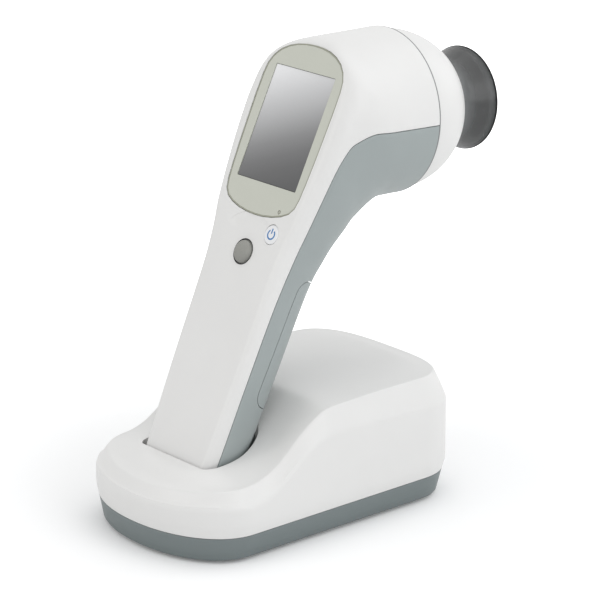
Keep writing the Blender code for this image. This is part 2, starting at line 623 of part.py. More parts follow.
for (deg, tint), label in zip(LEDS, names):
    a = math.radians(deg)
    prism(label, rounded_rect(LED_RING_R * math.cos(a), LED_RING_R * math.sin(a), 1.9, 1.9, 0.2, 1),
          led_board_h + 0.05, led_board_h + 0.95, HEAD, (tint, 0.3), False)
revolve("camera_barrel", ((3.2, -25.6), (4.3, -25.6), (4.3, led_board_h - 1.7), (8.0, led_board_h - 1.7),
                          (8.0, led_board_h - 6.0), (3.2, led_board_h - 6.0)), HEAD, BLACK, 32)
revolve("camera_lens", ((0.0, -25.8), (1.5, -25.95), (2.9, -26.5), (2.9, -28.4), (0.0, -28.4)), HEAD,
        ((0.20, 0.22, 0.26), 0.05, 0.0, 0.6), 24)
camera_board_h = led_board_h - 6.3
prism("camera_board", rounded_rect(0.0, 0.0, 18.0, 18.0, 1.0, 2), camera_board_h - 1.2, camera_board_h, HEAD, BOARD)

# Eyecup on a ring that plugs into the dome's mouth
ring_prof = ((MOUTH_R, DOME_END - 3.2), (MOUTH_R + 1.3, DOME_END - 3.2), (MOUTH_R + 1.3, DOME_END + 0.9),
             (MOUTH_R + 2.9, DOME_END + 0.9), (MOUTH_R + 2.9, DOME_END + 2.0), (MOUTH_R, DOME_END + 2.0))
revolve("eyecup_ring", ring_prof, HEAD, BLACK, 48)
base_h = DOME_END + 2.3
cup_out = ((CUP_NECK_R, base_h), (CUP_NECK_R + 0.2, base_h + 1.2), (CUP_NECK_R - 0.4, base_h + 3.0),
           (CUP_NECK_R - 0.5, base_h + 5.0), (CUP_NECK_R + 0.1, base_h + 8.0),
           (CUP_NECK_R + 1.4, base_h + 11.6), (CUP_RIM_R - 0.9, base_h + 15.2), (CUP_RIM_R, CUP_RIM_H - 0.7),
           (CUP_RIM_R, CUP_RIM_H - 0.2), (CUP_RIM_R - 0.5, CUP_RIM_H), (CUP_RIM_R - 1.0, CUP_RIM_H - 0.3))
cup_in = ((CUP_RIM_R - 2.0, base_h + 15.0), (CUP_NECK_R + 0.1, base_h + 11.4), (CUP_NECK_R - 1.2, base_h + 8.0),
          (CUP_NECK_R - 1.8, base_h + 5.0), (CUP_NECK_R - 1.7, base_h + 3.0), (CUP_NECK_R - 1.5, base_h + 1.2),
          (CUP_NECK_R - 1.4, base_h))
eyecup = revolve("eyecup", cup_out + cup_in, HEAD, ((0.10, 0.10, 0.10), 0.35, 0.0, 0.75), 48)

# ------------------------------------------------------------------- dock
PLAN_STEPS = 11
SIDE_STEPS = (0.0, 0.14, 0.28, 0.36, 0.42, 0.47, 0.52, 0.60, 0.72, 0.86, 1.0)


def shrunk(depth, inset, half_w):
    """Depth of an end's curve, which closes as the two sides meet."""
    if inset <= 8.0:
        return depth - inset
    return (depth - 8.0) * (half_w - inset) / (half_w - 8.0)


def plan_half(inset, half_w, nose):
    """Right half of the dock's plan from nose to rear, inset by a distance."""
    a = half_w - inset
    d = shrunk(nose, inset, half_w)
    e = shrunk(REAR_DEPTH - (DOCK_HALF_W - half_w), inset, half_w)
    pts = []
    for i in range(PLAN_STEPS):
        t = math.pi / 2 * i / PLAN_STEPS
        pts.append((a * math.sin(t) ** 0.96, STRAIGHT_Y0 - d * max(math.cos(t), 0.0) ** 0.96))
    for k in SIDE_STEPS:
        pts.append((a, STRAIGHT_Y0 + (STRAIGHT_Y1 - STRAIGHT_Y0) * k))
    for i in range(1, PLAN_STEPS + 1):
        t = math.pi / 2 * i / PLAN_STEPS
        pts.append((a * max(math.cos(t), 0.0) ** 0.62, STRAIGHT_Y1 + e * math.sin(t) ** 0.86))
    pts[-1] = (0.0, STRAIGHT_Y1 + e)
    return pts


def loop_of(half):
    return half + [(-x, y) for x, y in reversed(half[1:-1])]


def top_z(y, width):
    """Height of the top at a distance in from the dock's side."""
    shoulder = smooth_rows(DOCK_SHOULDER, y)[0]
    middle = smooth_rows(DOCK_TOP, y)[0]
    k = min(max((width - BEVEL_W) / MIDDLE_WIDTH, 0.0), 1.0)
    return shoulder + (middle - shoulder) * k * k * (3.0 - 2.0 * k)


def low_edge(y):
    """Lower edge of the bevel round the top."""
    return smooth_rows(DOCK_BEVEL_FOOT, y)[0]


def dock_skin(name, inset, z_floor, drop, mat=None):
    """Closed body under the dock's top surface, shrunk by a distance."""
    levels = []
    belt = plan_half(inset, DOCK_HALF_W, NOSE_DEPTH)
    share = (DOCK_BELT_Z - z_floor) / (DOCK_BELT_Z - DOCK_BASE_Z)
    low_w = DOCK_HALF_W - (DOCK_HALF_W - DOCK_FLOOR_HALF_W) * share
    low_n = NOSE_DEPTH - 2.6 * share
    levels.append([(x, y, z_floor) for x, y in plan_half(inset, low_w, low_n)])
    if z_floor < DOCK_BELT_Z - 1.0:
        levels.append([(x, y, DOCK_BELT_Z - 1.2) for x, y in plan_half(inset + 0.12, DOCK_HALF_W, NOSE_DEPTH)])
    levels.append([(x, y, DOCK_BELT_Z + 0.8) for x, y in belt])
    rings = ((0.2, -0.7, 0), (0.9, 0.9, 0), (BEVEL_W * 0.5, 0.46, 1), (BEVEL_W * 0.8, 0.78, 1),
             (BEVEL_W, 0.925, 1), (BEVEL_W * 1.35, 0.985, 1), (10.0, 1.0, 1), (15.0, 1.0, 1), (21.0, 1.0, 1),
             (31.0, 1.0, 1), (DOCK_HALF_W - inset - 2.5, 1.0, 1))
    ref = plan_half(inset, DOCK_HALF_W, NOSE_DEPTH)
    for width, rise, on_top in rings:
        row = []
        pts = plan_half(inset + width * (1.0 if on_top else 0.5), DOCK_HALF_W, NOSE_DEPTH)
        for (x, y), (rx, ry) in zip(pts, ref):
            z = low_edge(ry)
            z += (top_z(y, width) - z) * rise if on_top else rise
            row.append((x, y, z - drop))
        levels.append(row)
    half_n = len(levels[0])
    verts = []
    for row in levels:
        verts += row
        verts += [(-x, y, z) for x, y, z in reversed(row[1:-1])]
    n = 2 * half_n - 2
    faces = [list(range(n))]
    for k in range(len(levels) - 1):
        for i in range(n):
            j = (i + 1) % n
            faces.append([k * n + i, k * n + j, (k + 1) * n + j, (k + 1) * n + i])
    t = (len(levels) - 1) * n
    for i in range(half_n - 1):
        a = t + i
        b = t + i + 1
        c = t + (n - i - 1) % n if i + 1 < half_n - 1 else b
        d = t + (n - i) % n if i > 0 else a
        quad = []
        for v in (a, b, c, d):
            if v not in quad:
                quad.append(v)
        if len(quad) > 2:
            faces.append(quad)
    return add_mesh(name, verts, faces, mat, True)


dock_top = dock_skin("dock_top_shell", 0.0, DOCK_SPLIT_Z + SEAM, 0.0, WHITE)
boolean(dock_top, dock_skin("top_hollow", DOCK_WALL, DOCK_SPLIT_Z - 3.0, DOCK_WALL))

# Slot in the handle's direction
grow = SLOT_CLEAR
slot_sec, slot_outline = section_outline(-112.0, -grow)
inv_slot = SLOT.inverted()
slot_pts = []
for x, y in slot_outline:
    p = inv_slot @ (slot_sec["mid"] + X_AXIS * x + slot_sec["d"] * y)
    slot_pts.append((p.x, p.z))
SLOT_UP = frame_matrix(LIFT_ORIGIN, X_AXIS, LIFT_N, X_AXIS.cross(LIFT_N))
UP_SIGN = 1.0 if X_AXIS.cross(LIFT_N).dot(LIFT_DIR) > 0 else -1.0


def slot_body(name, pts, low, high, mat=None):
    a = UP_SIGN * low
    b = UP_SIGN * high
    return prism(name, pts, min(a, b), max(a, b), SLOT_UP, mat, False)


def grow_pts(pts, g):
    """Outline moved outwards by g; the points run either way round."""
    area = 0.0
    n = len(pts)
    for i in range(n):
        area += pts[i - 1][0] * pts[i][1] - pts[i][0] * pts[i - 1][1]
    s = 1.0 if area > 0 else -1.0
    out = []
    for i in range(n):
        t = (Vector(pts[(i + 1) % n]) - Vector(pts[i - 1])).normalized()
        out.append((pts[i][0] + s * t.y * g, pts[i][1] - s * t.x * g))
    return out


boolean(dock_top, slot_body("slot_tool", slot_pts, -1.5, 95.0))

liner = slot_body("slot_liner", grow_pts(slot_pts, LINER_WALL), -2.6, 70.0, GREY)
boolean(liner, slot_body("liner_hollow", slot_pts, -0.8, 95.0))
boolean(liner, dock_skin("liner_limit", DOCK_WALL + CLEAR, DOCK_BASE_Z + 2.9, DOCK_WALL + CLEAR), "INTERSECT")

# Base tray
base = []
for inset, z in ((1.0, DOCK_BASE_Z), (0.0, DOCK_BASE_Z + 1.0), (0.0, DOCK_SPLIT_Z - SEAM)):
    share = (DOCK_BELT_Z - z) / (DOCK_BELT_Z - DOCK_BASE_Z)
    low_w = DOCK_HALF_W - (DOCK_HALF_W - DOCK_FLOOR_HALF_W) * share
    base.append([(x, y, z) for x, y in loop_of(plan_half(inset, low_w, NOSE_DEPTH - 2.6 * share))])
n = len(base[0])
verts = [p for row in base for p in row]
inner_rows = []
for inset, z in ((DOCK_WALL, DOCK_SPLIT_Z - SEAM), (DOCK_WALL, DOCK_BASE_Z + 2.3)):
    share = (DOCK_BELT_Z - z) / (DOCK_BELT_Z - DOCK_BASE_Z)
    low_w = DOCK_HALF_W - (DOCK_HALF_W - DOCK_FLOOR_HALF_W) * share
    inner_rows.append([(x, y, z) for x, y in loop_of(plan_half(inset, low_w, NOSE_DEPTH - 2.6 * share))])
verts += [p for row in inner_rows for p in row]
faces = [list(range(n)), list(range(4 * n, 5 * n))]
for k in range(4):
    faces += [[k * n + i, k * n + (i + 1) % n, (k + 1) * n + (i + 1) % n, (k + 1) * n + i] for i in range(n)]
dock_base = add_mesh("dock_base", verts, faces, DOCK_GREY, True)

FLOOR_TOP = DOCK_BASE_Z + 2.3
POSTS = ((-31.0, -50.0), (31.0, -50.0), (-31.0, 44.0), (31.0, 44.0))
POST_TOP = 22.0
for k, (x, y) in enumerate(POSTS):
    boolean(dock_base, prism("post", circle(x, y, 3.6, 20), FLOOR_TOP - 1.0, POST_TOP, WORLD), "UNION")
    boolean(dock_base, prism("bore", circle(x, y, 1.7, 16), -1.0, POST_TOP + 1.0, WORLD))
    boolean(dock_base, prism("sink", circle(x, y, 3.1, 20), -1.0, DOCK_BASE_Z + 1.6, WORLD))
    revolve("base_screw_%d" % (k + 1), ((0.0, DOCK_BASE_Z + 0.2), (2.7, DOCK_BASE_Z + 0.2), (2.7, DOCK_BASE_Z + 1.4),
                                        (1.4, DOCK_BASE_Z + 1.4), (1.4, POST_TOP - 2.0), (0.0, POST_TOP - 2.0)),
            WORLD, STEEL, 20, (x, y))
FEET = ((-27.0, -62.0), (27.0, -62.0), (-27.0, 52.0), (27.0, 52.0))
for k, (x, y) in enumerate(FEET):
    revolve("foot_%d" % (k + 1), ((0.0, 0.0), (FOOT_R - 0.4, 0.0), (FOOT_R, 0.4), (FOOT_R, DOCK_BASE_Z - 0.1),
                                  (0.0, DOCK_BASE_Z - 0.1)), WORLD, ((0.03, 0.03, 0.03), 0.8), 24, (x, y))

# Ballast, board, contacts and the inlet
prism("ballast_plate", rounded_rect(0.0, 12.0, 62.0, 44.0, 3.0, 3), FLOOR_TOP + 0.2, FLOOR_TOP + 3.2, WORLD, STEEL)
board_z = FLOOR_TOP + 3.6
dock_board = prism("dock_board", rounded_rect(0.0, 30.0, 50.0, 54.0, 2.0, 2), board_z, board_z + BOARD_T, WORLD, BOARD)
PIN_BACK = pad_mid
pin_pts = []
block_mid = inv_slot @ (cap_sec["mid"] + cap_sec["d"] * pad_mid)
block = slot_body("contact_block", rounded_rect(0.0, block_mid.z, 20.0, 8.0, 1.0, 2), -9.0, -2.9, BLACK)
for k, u in enumerate((-6.0, 6.0)):
    boolean(liner, slot_body("pin_way", circle(u, block_mid.z, 1.6, 16), -8.0, 1.0))
    boolean(block, slot_body("pin_bore", circle(u, block_mid.z, 1.45, 16), -7.5, 1.0))
    a = UP_SIGN
    prof = ((0.0, a * -7.2), (1.15, a * -7.2), (1.15, a * -0.6), (0.6, a * 0.0), (0.0, a * 0.0))
    revolve("contact_pin_%d" % (k + 1), prof, SLOT_UP, GOLD, 16, (u, block_mid.z))

INLET_Z = board_z + BOARD_T + 0.2
rear_y = STRAIGHT_Y1 + REAR_DEPTH
BACKWARD = frame_matrix((0.0, 0.0, 0.0), X_AXIS, Vector((0, 0, 1)), Vector((0, -1, 0)))


def back_box(name, x, z, w, h, r, y0, y1, mat=None):
    return prism(name, rounded_rect(x, z, w, h, r, 3), -y1, -y0, BACKWARD, mat)


inlet_mid = DOCK_SPLIT_Z + SEAM + 4.2
inlet_low = inlet_mid - 2.6
boolean(dock_top, back_box("inlet_hole", 0.0, inlet_mid, 10.6, 5.8, 1.4, rear_y - 8.0, rear_y + 4.0))
inlet = back_box("power_inlet", 0.0, inlet_mid, 10.0, 5.2, 1.1, rear_y - 14.0, rear_y - 0.6, BLACK)
boolean(inlet, back_box("inlet_mouth", 0.0, inlet_mid, 7.6, 2.6, 0.8, rear_y - 8.0, rear_y + 4.0))
back_box("inlet_tongue", 0.0, inlet_mid, 5.0, 0.7, 0.1, rear_y - 7.9, rear_y - 2.0, GOLD)
prism("inlet_bracket", rounded_rect(0.0, rear_y - 12.0, 12.0, 6.0, 0.5, 2), board_z + BOARD_T + 0.1, inlet_low - 0.1,
      WORLD, BLACK)

# ----------------------------------------------------- finish: one frame
y_low = 1e9
y_high = -1e9
for ob in SOLIDS:
    for v in ob.data.vertices:
        y_low = min(y_low, v.co.y)
        y_high = max(y_high, v.co.y)
Y_MID = (y_low + y_high) / 2
SHIFT = Matrix.Translation(Vector((0.0, -Y_MID, 0.0)))

DOOR_PIVOT = face_point(0.0, DOOR_LOW, -29.0)
ORIGINS = {
    "power_button": face_point(POWER_U, POWER_V, power_top),
    "joystick_cap": face_point(0.0, STICK_V, -STICK_PIVOT_DEPTH),
    "joystick_rocker": face_point(0.0, STICK_V, -STICK_PIVOT_DEPTH),
    "joystick_gimbal": face_point(0.0, STICK_V, -STICK_PIVOT_DEPTH),
    "eyecup": HEAD @ Vector((0.0, 0.0, base_h)),
    "battery_door": DOOR_PIVOT,
}
DOCK_NODES = ("dock_", "slot_", "base_", "foot_", "ballast", "contact_", "power_inlet", "inlet_")
for ob in SOLIDS:
    home = ORIGINS.get(ob.name)
    if home is None:
        at_dock = any(ob.name.startswith(p) for p in DOCK_NODES)
        home = Vector((0.0, 0.0, 0.0)) if at_dock else LIFT_ORIGIN
    home = SHIFT @ home
    if home.length > 1000.0:
        home = Vector((0.0, 0.0, 0.0))
    ob.data.transform(Matrix.Translation(-home) @ SHIFT)
    ob.data.transform(Matrix.Scale(MM, 4))
    ob.location = home * MM
    for poly in ob.data.polygons:
        poly.use_smooth = bool(ob["smooth"])
    if ob["smooth"]:
        ob.data.set_sharp_from_angle(angle=math.radians(32.0))
    del ob["smooth"]
bpy.context.view_layer.update()

print("y middle %.3f, y span %.3f" % (Y_MID, y_high - y_low))
for label, home in ORIGINS.items():
    p = SHIFT @ home
    print("origin %s %.5f %.5f %.5f" % (label, p.x * MM, p.y * MM, p.z * MM))
p = SHIFT @ LIFT_ORIGIN
print("lift origin %.5f %.5f %.5f dir %.6f %.6f" % (p.x * MM, p.y * MM, p.z * MM, LIFT_DIR.y, LIFT_DIR.z))
print("face v %.6f %.6f n %.6f %.6f" % (FACE_V.y, FACE_V.z, FACE_N.y, FACE_N.z))
print("head h %.6f %.6f" % (HEAD_H.y, HEAD_H.z))
print("solids %d" % len(SOLIDS))
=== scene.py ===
"""Looks of the hand-held retina tester in its dock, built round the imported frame.

Pieces are drawn in millimetres in the same frame as the CAD source, whose
Y = 0 lies under the middle of the screen, and are moved to metres here.
"""

import json
import math

import bmesh
import bpy
from mathutils import Matrix
from mathutils import Vector


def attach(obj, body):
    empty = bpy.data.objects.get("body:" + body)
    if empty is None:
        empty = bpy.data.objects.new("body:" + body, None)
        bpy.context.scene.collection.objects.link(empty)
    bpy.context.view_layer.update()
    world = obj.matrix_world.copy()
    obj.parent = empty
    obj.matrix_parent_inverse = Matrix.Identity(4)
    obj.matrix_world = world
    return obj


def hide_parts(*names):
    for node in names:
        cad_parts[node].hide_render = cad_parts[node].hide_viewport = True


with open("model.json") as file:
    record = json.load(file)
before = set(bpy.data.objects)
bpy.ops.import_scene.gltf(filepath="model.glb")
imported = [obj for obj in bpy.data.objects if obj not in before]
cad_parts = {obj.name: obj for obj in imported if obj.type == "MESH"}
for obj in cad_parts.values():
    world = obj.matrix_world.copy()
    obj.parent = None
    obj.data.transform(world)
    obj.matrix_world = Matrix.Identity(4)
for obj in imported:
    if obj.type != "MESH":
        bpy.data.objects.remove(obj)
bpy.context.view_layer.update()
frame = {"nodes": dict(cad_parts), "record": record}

MM = 0.001
TAU = 2.0 * math.pi
Y_MID = 8.559              # the part's frame is this far along from the drawing's

# ---------------------------------------------------------------- sizes, mm
LEAN_DEG = 26.4            # screen leans back from upright
SCREEN_Z = 163.4           # height of the screen's middle
SCREEN_W = 36.8            # visible screen
SCREEN_H = 49.0
LIFT_LEAN_DEG = 25.3       # handle's own lean, and the way it leaves the dock

WALL = 2.2                 # handpiece wall
SEAM = 0.15                # half of every visible parting gap

BARREL_R = 35.4            # head barrel
BARREL_Y = 53.74           # end of the barrel, on its axis
BARREL_Z = 161.7
BARREL_TILT_DEG = -3.0     # barrel axis points slightly down
BARREL_DROP = 0.055        # how fast the barrel's top falls towards the screen
DOME_R = 34.5              # white dome at the seam
DOME_LENGTH = 31.8         # length the dome's curve would need to close
DOME_END = 25.6            # where the dome stops at its mouth
DOME_WALL = 2.4
DOME_P = 1.95
DOME_Q = 2.75
MOUTH_R = 17.2             # viewing opening

CUP_RIM_H = 46.4           # eyecup rim beyond the seam
CUP_RIM_R = 22.3
CUP_NECK_R = 18.6

FACE_PLATE_SINK = 0.25     # display frame under the front face
FACE_PLATE_T = 1.0
POCKET_DEPTH = 1.5

POWER_U = 13.4             # power button
POWER_V = -43.7
POWER_R = 4.1
STICK_V = -53.9            # joystick
STICK_R = 5.0
STICK_HOLE_R = 5.6
LIGHT_U = 13.4             # status light
LIGHT_V = -34.1
LIGHT_R = 0.75
POWER_TOP = -0.45          # top of the button's edge, under the face
ICON_R = 1.95              # power symbol
ICON_HALF_W = 0.33
ICON_GAP_DEG = 38.0        # from the top to either end of its ring
STICK_LOW = -2.2           # underside of the joystick's cap
DISH_R = 11.0              # shallow thumb dish round the joystick
DISH_SINK = 0.75
DISH_TOP = -0.845          # where the dish meets the handle's face
WINDOW_ROOM = 3.4          # opening in the front shell, over the screen
SHADOW_LINE_W = 0.55          # width of the painted shadow line round the display frame

DOOR_TOP = -56.5           # battery door, along the handle (v)
DOOR_LOW = -112.0
DOOR_EDGE = -15.8          # door's side edges, depth (n)

HANDLE_END = -157.0        # lower end of the handle (v)

DOCK_HALF_W = 45.9         # dock at its widest, z = DOCK_BELT_Z
DOCK_FLOOR_HALF_W = 42.3
DOCK_SPLIT_Z = 11.9        # white over grey
DOCK_BELT_Z = 17.0
DOCK_BASE_Z = 1.2
NOSE_DEPTH = 29.0
NOSE_TAPER = 2.6           # how much the nose draws in down to the floor
STRAIGHT_Y0 = -55.1
STRAIGHT_Y1 = 38.6
REAR_DEPTH = 26.0
DOCK_WALL = 2.5
BEVEL_W = 5.0
POST_TOP = 22.0            # screw posts in the dock base
SLOT_CLEAR = 0.9           # slot round the handle

RIM = 0.22                 # rounding of the shells' parting edges
EDGE_ANGLE_DEG = 50.0      # edges sharper than this are bevelled
RELAX_STEPS = 60           # evening out of the turn from handle to barrel
RELAX_FROM = 12.0
RELAX_TO = 66.0

# Handle and head: one row per cross-section plane, along the length.
# (station, front v, front n, back v, back n, front-to-parting, half-width,
#  flat half-width in front, flat half-width behind, front power, back power)
SECTIONS = (
    (-157.0, -157.0, -3.6, -157.0, -28.6, 5.3, 20.2, 16.6, 9.0, 2.0, 2.6),
    (-139.0, -139.0, -3.1, -139.0, -28.6, 5.7, 20.9, 17.3, 9.0, 2.0, 2.6),
    (-110.0, -110.0, -2.4, -110.0, -28.6, 5.2, 22.1, 18.4, 9.0, 2.0, 2.6),
    (-90.0, -90.0, -2.0, -90.0, -28.5, 5.0, 22.8, 18.9, 9.0, 2.0, 2.6),
    (-75.0, -75.0, -1.55, -75.0, -28.4, 5.2, 23.2, 19.0, 9.0, 2.0, 2.6),
    (-62.0, -62.0, -1.15, -62.0, -28.5, 5.8, 23.7, 19.3, 9.0, 2.0, 2.6),
    (-48.4, -48.4, -0.6, -55.6, -29.0, 6.4, 25.0, 20.6, 8.5, 2.0, 2.5),
    (-34.8, -34.8, -0.1, -49.1, -30.2, 7.0, 27.2, 23.2, 8.0, 2.1, 2.4),
    (-21.2, -21.2, 0.0, -42.7, -32.2, 7.4, 29.2, 24.4, 7.0, 2.1, 2.3),
    (-7.6, -7.6, 0.0, -36.5, -35.0, 8.2, 30.8, 25.0, 6.0, 2.2, 2.3),
    (6.0, 6.0, 0.0, -30.4, -38.2, 11.0, 32.2, 25.2, 4.5, 2.2, 2.2),
    (19.6, 19.6, 0.0, -25.0, -42.1, 18.8, 33.8, 25.0, 3.0, 2.2, 2.1),
    (28.0, 28.0, 0.0, -21.9, -44.8, 25.0, 34.8, 22.4, 1.5, 2.1, 2.0),
    (33.2, 33.2, 0.0, -19.5, -46.6, 30.8, 35.2, 15.5, 0.6, 2.0, 2.0),
    (36.0, 35.8, -0.16, -17.9, -47.9, 33.6, 35.3, 9.5, 0.2, 2.0, 2.0),
    (39.7, 38.0, -1.15, -16.9, -48.9, 35.0, 35.4, 4.0, 0.05, 2.0, 2.0),
    (43.5, 39.9, -3.5, -16.1, -49.9, 35.6, 35.4, 1.0, 0.05, 2.0, 2.0),
)
# head barrel sections: (station, distance before the seam, plane's lean)
BARREL_SECTIONS = ((47.5, 21.6, 14.0), (57.0, 13.0, 8.5), (66.0, 6.0, 3.5), (74.0, 0.15, 0.0))

# Display frame outline, right half, (u, v) from the top down
FRAME_HALF = ((0.0, 35.6), (5.0, 35.35), (10.0, 34.5), (14.5, 33.0), (18.5, 30.7), (21.5, 27.6),
              (23.3, 24.0), (24.0, 19.5), (24.1, 10.0), (23.9, 0.0), (23.6, -10.0), (23.1, -20.0),
              (22.5, -27.0), (21.5, -31.0), (19.3, -33.7), (15.5, -35.6), (10.5, -37.0),
              (5.0, -37.8), (0.0, -38.0))

# Dock top over its middle, at the shoulder, and at the bevel's foot, (y, z)
DOCK_TOP = ((-84.1, 31.0), (-78.0, 32.4), (-70.0, 33.7), (-62.0, 34.4), (-52.0, 34.8), (-44.0, 35.8),
            (-37.0, 38.0), (-30.0, 41.3), (-25.0, 44.8), (-21.0, 48.0), (-16.0, 52.8), (-13.6, 55.0),
            (-11.0, 56.0), (-4.0, 56.6), (10.0, 57.0), (30.0, 57.1), (48.0, 56.8), (66.0, 55.8))
DOCK_SHOULDER = ((-84.1, 27.8), (-78.0, 29.2), (-68.0, 30.7), (-60.0, 31.1), (-52.0, 31.8), (-45.0, 33.7),
                 (-38.6, 37.2), (-33.7, 41.0), (-29.5, 44.8), (-24.0, 48.9), (-19.0, 52.0),
                 (-14.5, 54.2), (-10.0, 55.0), (0.0, 55.4), (20.0, 55.8), (41.0, 55.8), (66.0, 54.8))
DOCK_BEVEL_FOOT = ((-84.1, 22.6), (-71.0, 24.0), (-55.0, 23.8), (-48.4, 24.8), (-42.0, 28.2), (-35.6, 33.1),
                   (-30.0, 37.3), (-25.0, 40.8), (-19.5, 43.2), (-14.6, 44.6), (0.0, 45.2),
                   (46.0, 43.8), (66.0, 43.2))
MIDDLE_WIDTH = 18.0        # from the shoulder in to the middle's height


def smooth_rows(rows, x):
    """Monotone cubic interpolation of a table whose first column is x."""
    count = len(rows)
    if x <= rows[0][0]:
        return list(rows[0][1:])
    if x >= rows[-1][0]:
        return list(rows[-1][1:])
    i = 0
    while rows[i + 1][0] < x:
        i += 1
    h = rows[i + 1][0] - rows[i][0]
    t = (x - rows[i][0]) / h

    def slope(k, c):
        if k == 0 or k == count - 1:
            a = 1 if k == 0 else k
            return (rows[a][c] - rows[a - 1][c]) / (rows[a][0] - rows[a - 1][0])
        d0 = (rows[k][c] - rows[k - 1][c]) / (rows[k][0] - rows[k - 1][0])
        d1 = (rows[k + 1][c] - rows[k][c]) / (rows[k + 1][0] - rows[k][0])
        if d0 * d1 <= 0.0:
            return 0.0
        w0 = 2 * (rows[k + 1][0] - rows[k][0]) + (rows[k][0] - rows[k - 1][0])
        w1 = (rows[k + 1][0] - rows[k][0]) + 2 * (rows[k][0] - rows[k - 1][0])
        return (w0 + w1) / (w0 / d0 + w1 / d1)

    out = []
    for c in range(1, len(rows[0])):
        m0 = slope(i, c) * h
        m1 = slope(i + 1, c) * h
        a = rows[i][c]
        b = rows[i + 1][c]
        out.append((2 * t ** 3 - 3 * t ** 2 + 1) * a + (t ** 3 - 2 * t ** 2 + t) * m0
                   + (-2 * t ** 3 + 3 * t ** 2) * b + (t ** 3 - t ** 2) * m1)
    return out


def spread(marks, steps):
    """Stations between marks, each span cut into its own number of steps."""
    out = []
    for a, b, n in zip(marks, marks[1:], steps):
        out += [a + (b - a) * i / n for i in range(n)]
    return out + [marks[-1]]


STATION_LIST = spread((-157.0, -62.0, -45.0, 24.0, 47.5, 74.0), (22, 8, 36, 26, 10))


def frame_matrix(origin, x_dir, y_dir, z_dir):
    m = Matrix((x_dir, y_dir, z_dir)).transposed().to_4x4()
    m.translation = Vector(origin)
    return m


LEAN = math.radians(LEAN_DEG)
X_AXIS = Vector((1.0, 0.0, 0.0))
FACE_V = Vector((0.0, math.sin(LEAN), math.cos(LEAN)))
FACE_N = Vector((0.0, -math.cos(LEAN), math.sin(LEAN)))
FACE = frame_matrix((0.0, 0.0, SCREEN_Z), X_AXIS, FACE_V, FACE_N)

TILT = math.radians(BARREL_TILT_DEG)
HEAD_H = Vector((0.0, math.cos(TILT), math.sin(TILT)))
HEAD_G = Vector((0.0, -math.sin(TILT), math.cos(TILT)))
HEAD = frame_matrix((0.0, BARREL_Y, BARREL_Z), X_AXIS, -HEAD_G, HEAD_H)

LIFT = math.radians(LIFT_LEAN_DEG)
LIFT_DIR = Vector((0.0, math.sin(LIFT), math.cos(LIFT)))
LIFT_N = Vector((0.0, -math.cos(LIFT), math.sin(LIFT)))
WORLD = Matrix.Identity(4)


def face_point(u, v, n):
    return FACE @ Vector((u, v, n))


HANDLE_MID = (0.0, HANDLE_END, -17.5)
LIFT_ORIGIN = face_point(*HANDLE_MID)
SLOT = frame_matrix(LIFT_ORIGIN, X_AXIS, LIFT_DIR, LIFT_N)


def add_mesh(name, verts, faces, mat=None):
    """A closed mesh in millimetres; with a material it is a piece, else a tool."""
    me = bpy.data.meshes.new(name)
    bm = bmesh.new()
    made = [bm.verts.new(v) for v in verts]
    for f in faces:
        loop = []
        for i in f:
            if made[i] not in loop:
                loop.append(made[i])
        if len(loop) > 2:
            bm.faces.new(loop)
    bmesh.ops.remove_doubles(bm, verts=bm.verts[:], dist=1e-6)
    bmesh.ops.recalc_face_normals(bm, faces=bm.faces[:])
    if bm.calc_volume(signed=True) < 0.0:
        bmesh.ops.reverse_faces(bm, faces=bm.faces[:])
    bm.to_mesh(me)
    bm.free()
    ob = bpy.data.objects.new(name, me)
    bpy.context.scene.collection.objects.link(ob)
    if mat is not None:
        me.materials.append(mat)
    return ob


def piece(ob, body, node=None, angle=32.0, bevel=0.0):
    """Moves a finished drawing to metres and hands it to its body."""
    ob.data.transform(Matrix.Translation(Vector((0.0, -Y_MID, 0.0))))
    ob.data.transform(Matrix.Scale(MM, 4))
    if bevel > 0.0:
        mod = ob.modifiers.new("edge", "BEVEL")
        mod.width = bevel * MM
        mod.segments = 2
        mod.limit_method = "ANGLE"
        mod.angle_limit = math.radians(EDGE_ANGLE_DEG)
    for poly in ob.data.polygons:
        poly.use_smooth = True
    ob.data.set_sharp_from_angle(angle=math.radians(angle))
    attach(ob, body)
    if node is not None:
        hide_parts(node)


def prism(name, outline, z0, z1, place, mat=None):
    """Outline in the place's XY, drawn from z0 to z1 along its Z."""
    n = len(outline)
    verts = [place @ Vector((x, y, z)) for z in (z0, z1) for x, y in outline]
    faces = [list(range(n)), list(range(n, 2 * n))]
    faces += [[i, (i + 1) % n, n + (i + 1) % n, n + i] for i in range(n)]
    return add_mesh(name, verts, faces, mat)


def rounded_rect(cx, cy, w, h, r, steps=4):
    pts = []
    corners = ((w / 2 - r, h / 2 - r, 0), (-w / 2 + r, h / 2 - r, 1),
               (-w / 2 + r, -h / 2 + r, 2), (w / 2 - r, -h / 2 + r, 3))
    for x, y, q in corners:
        for i in range(steps + 1):
            a = (q + i / steps) * math.pi / 2
            pts.append((cx + x + r * math.cos(a), cy + y + r * math.sin(a)))
    return pts


def circle(cx, cy, r, steps=32):
    return [(cx + r * math.cos(TAU * i / steps), cy + r * math.sin(TAU * i / steps)) for i in range(steps)]


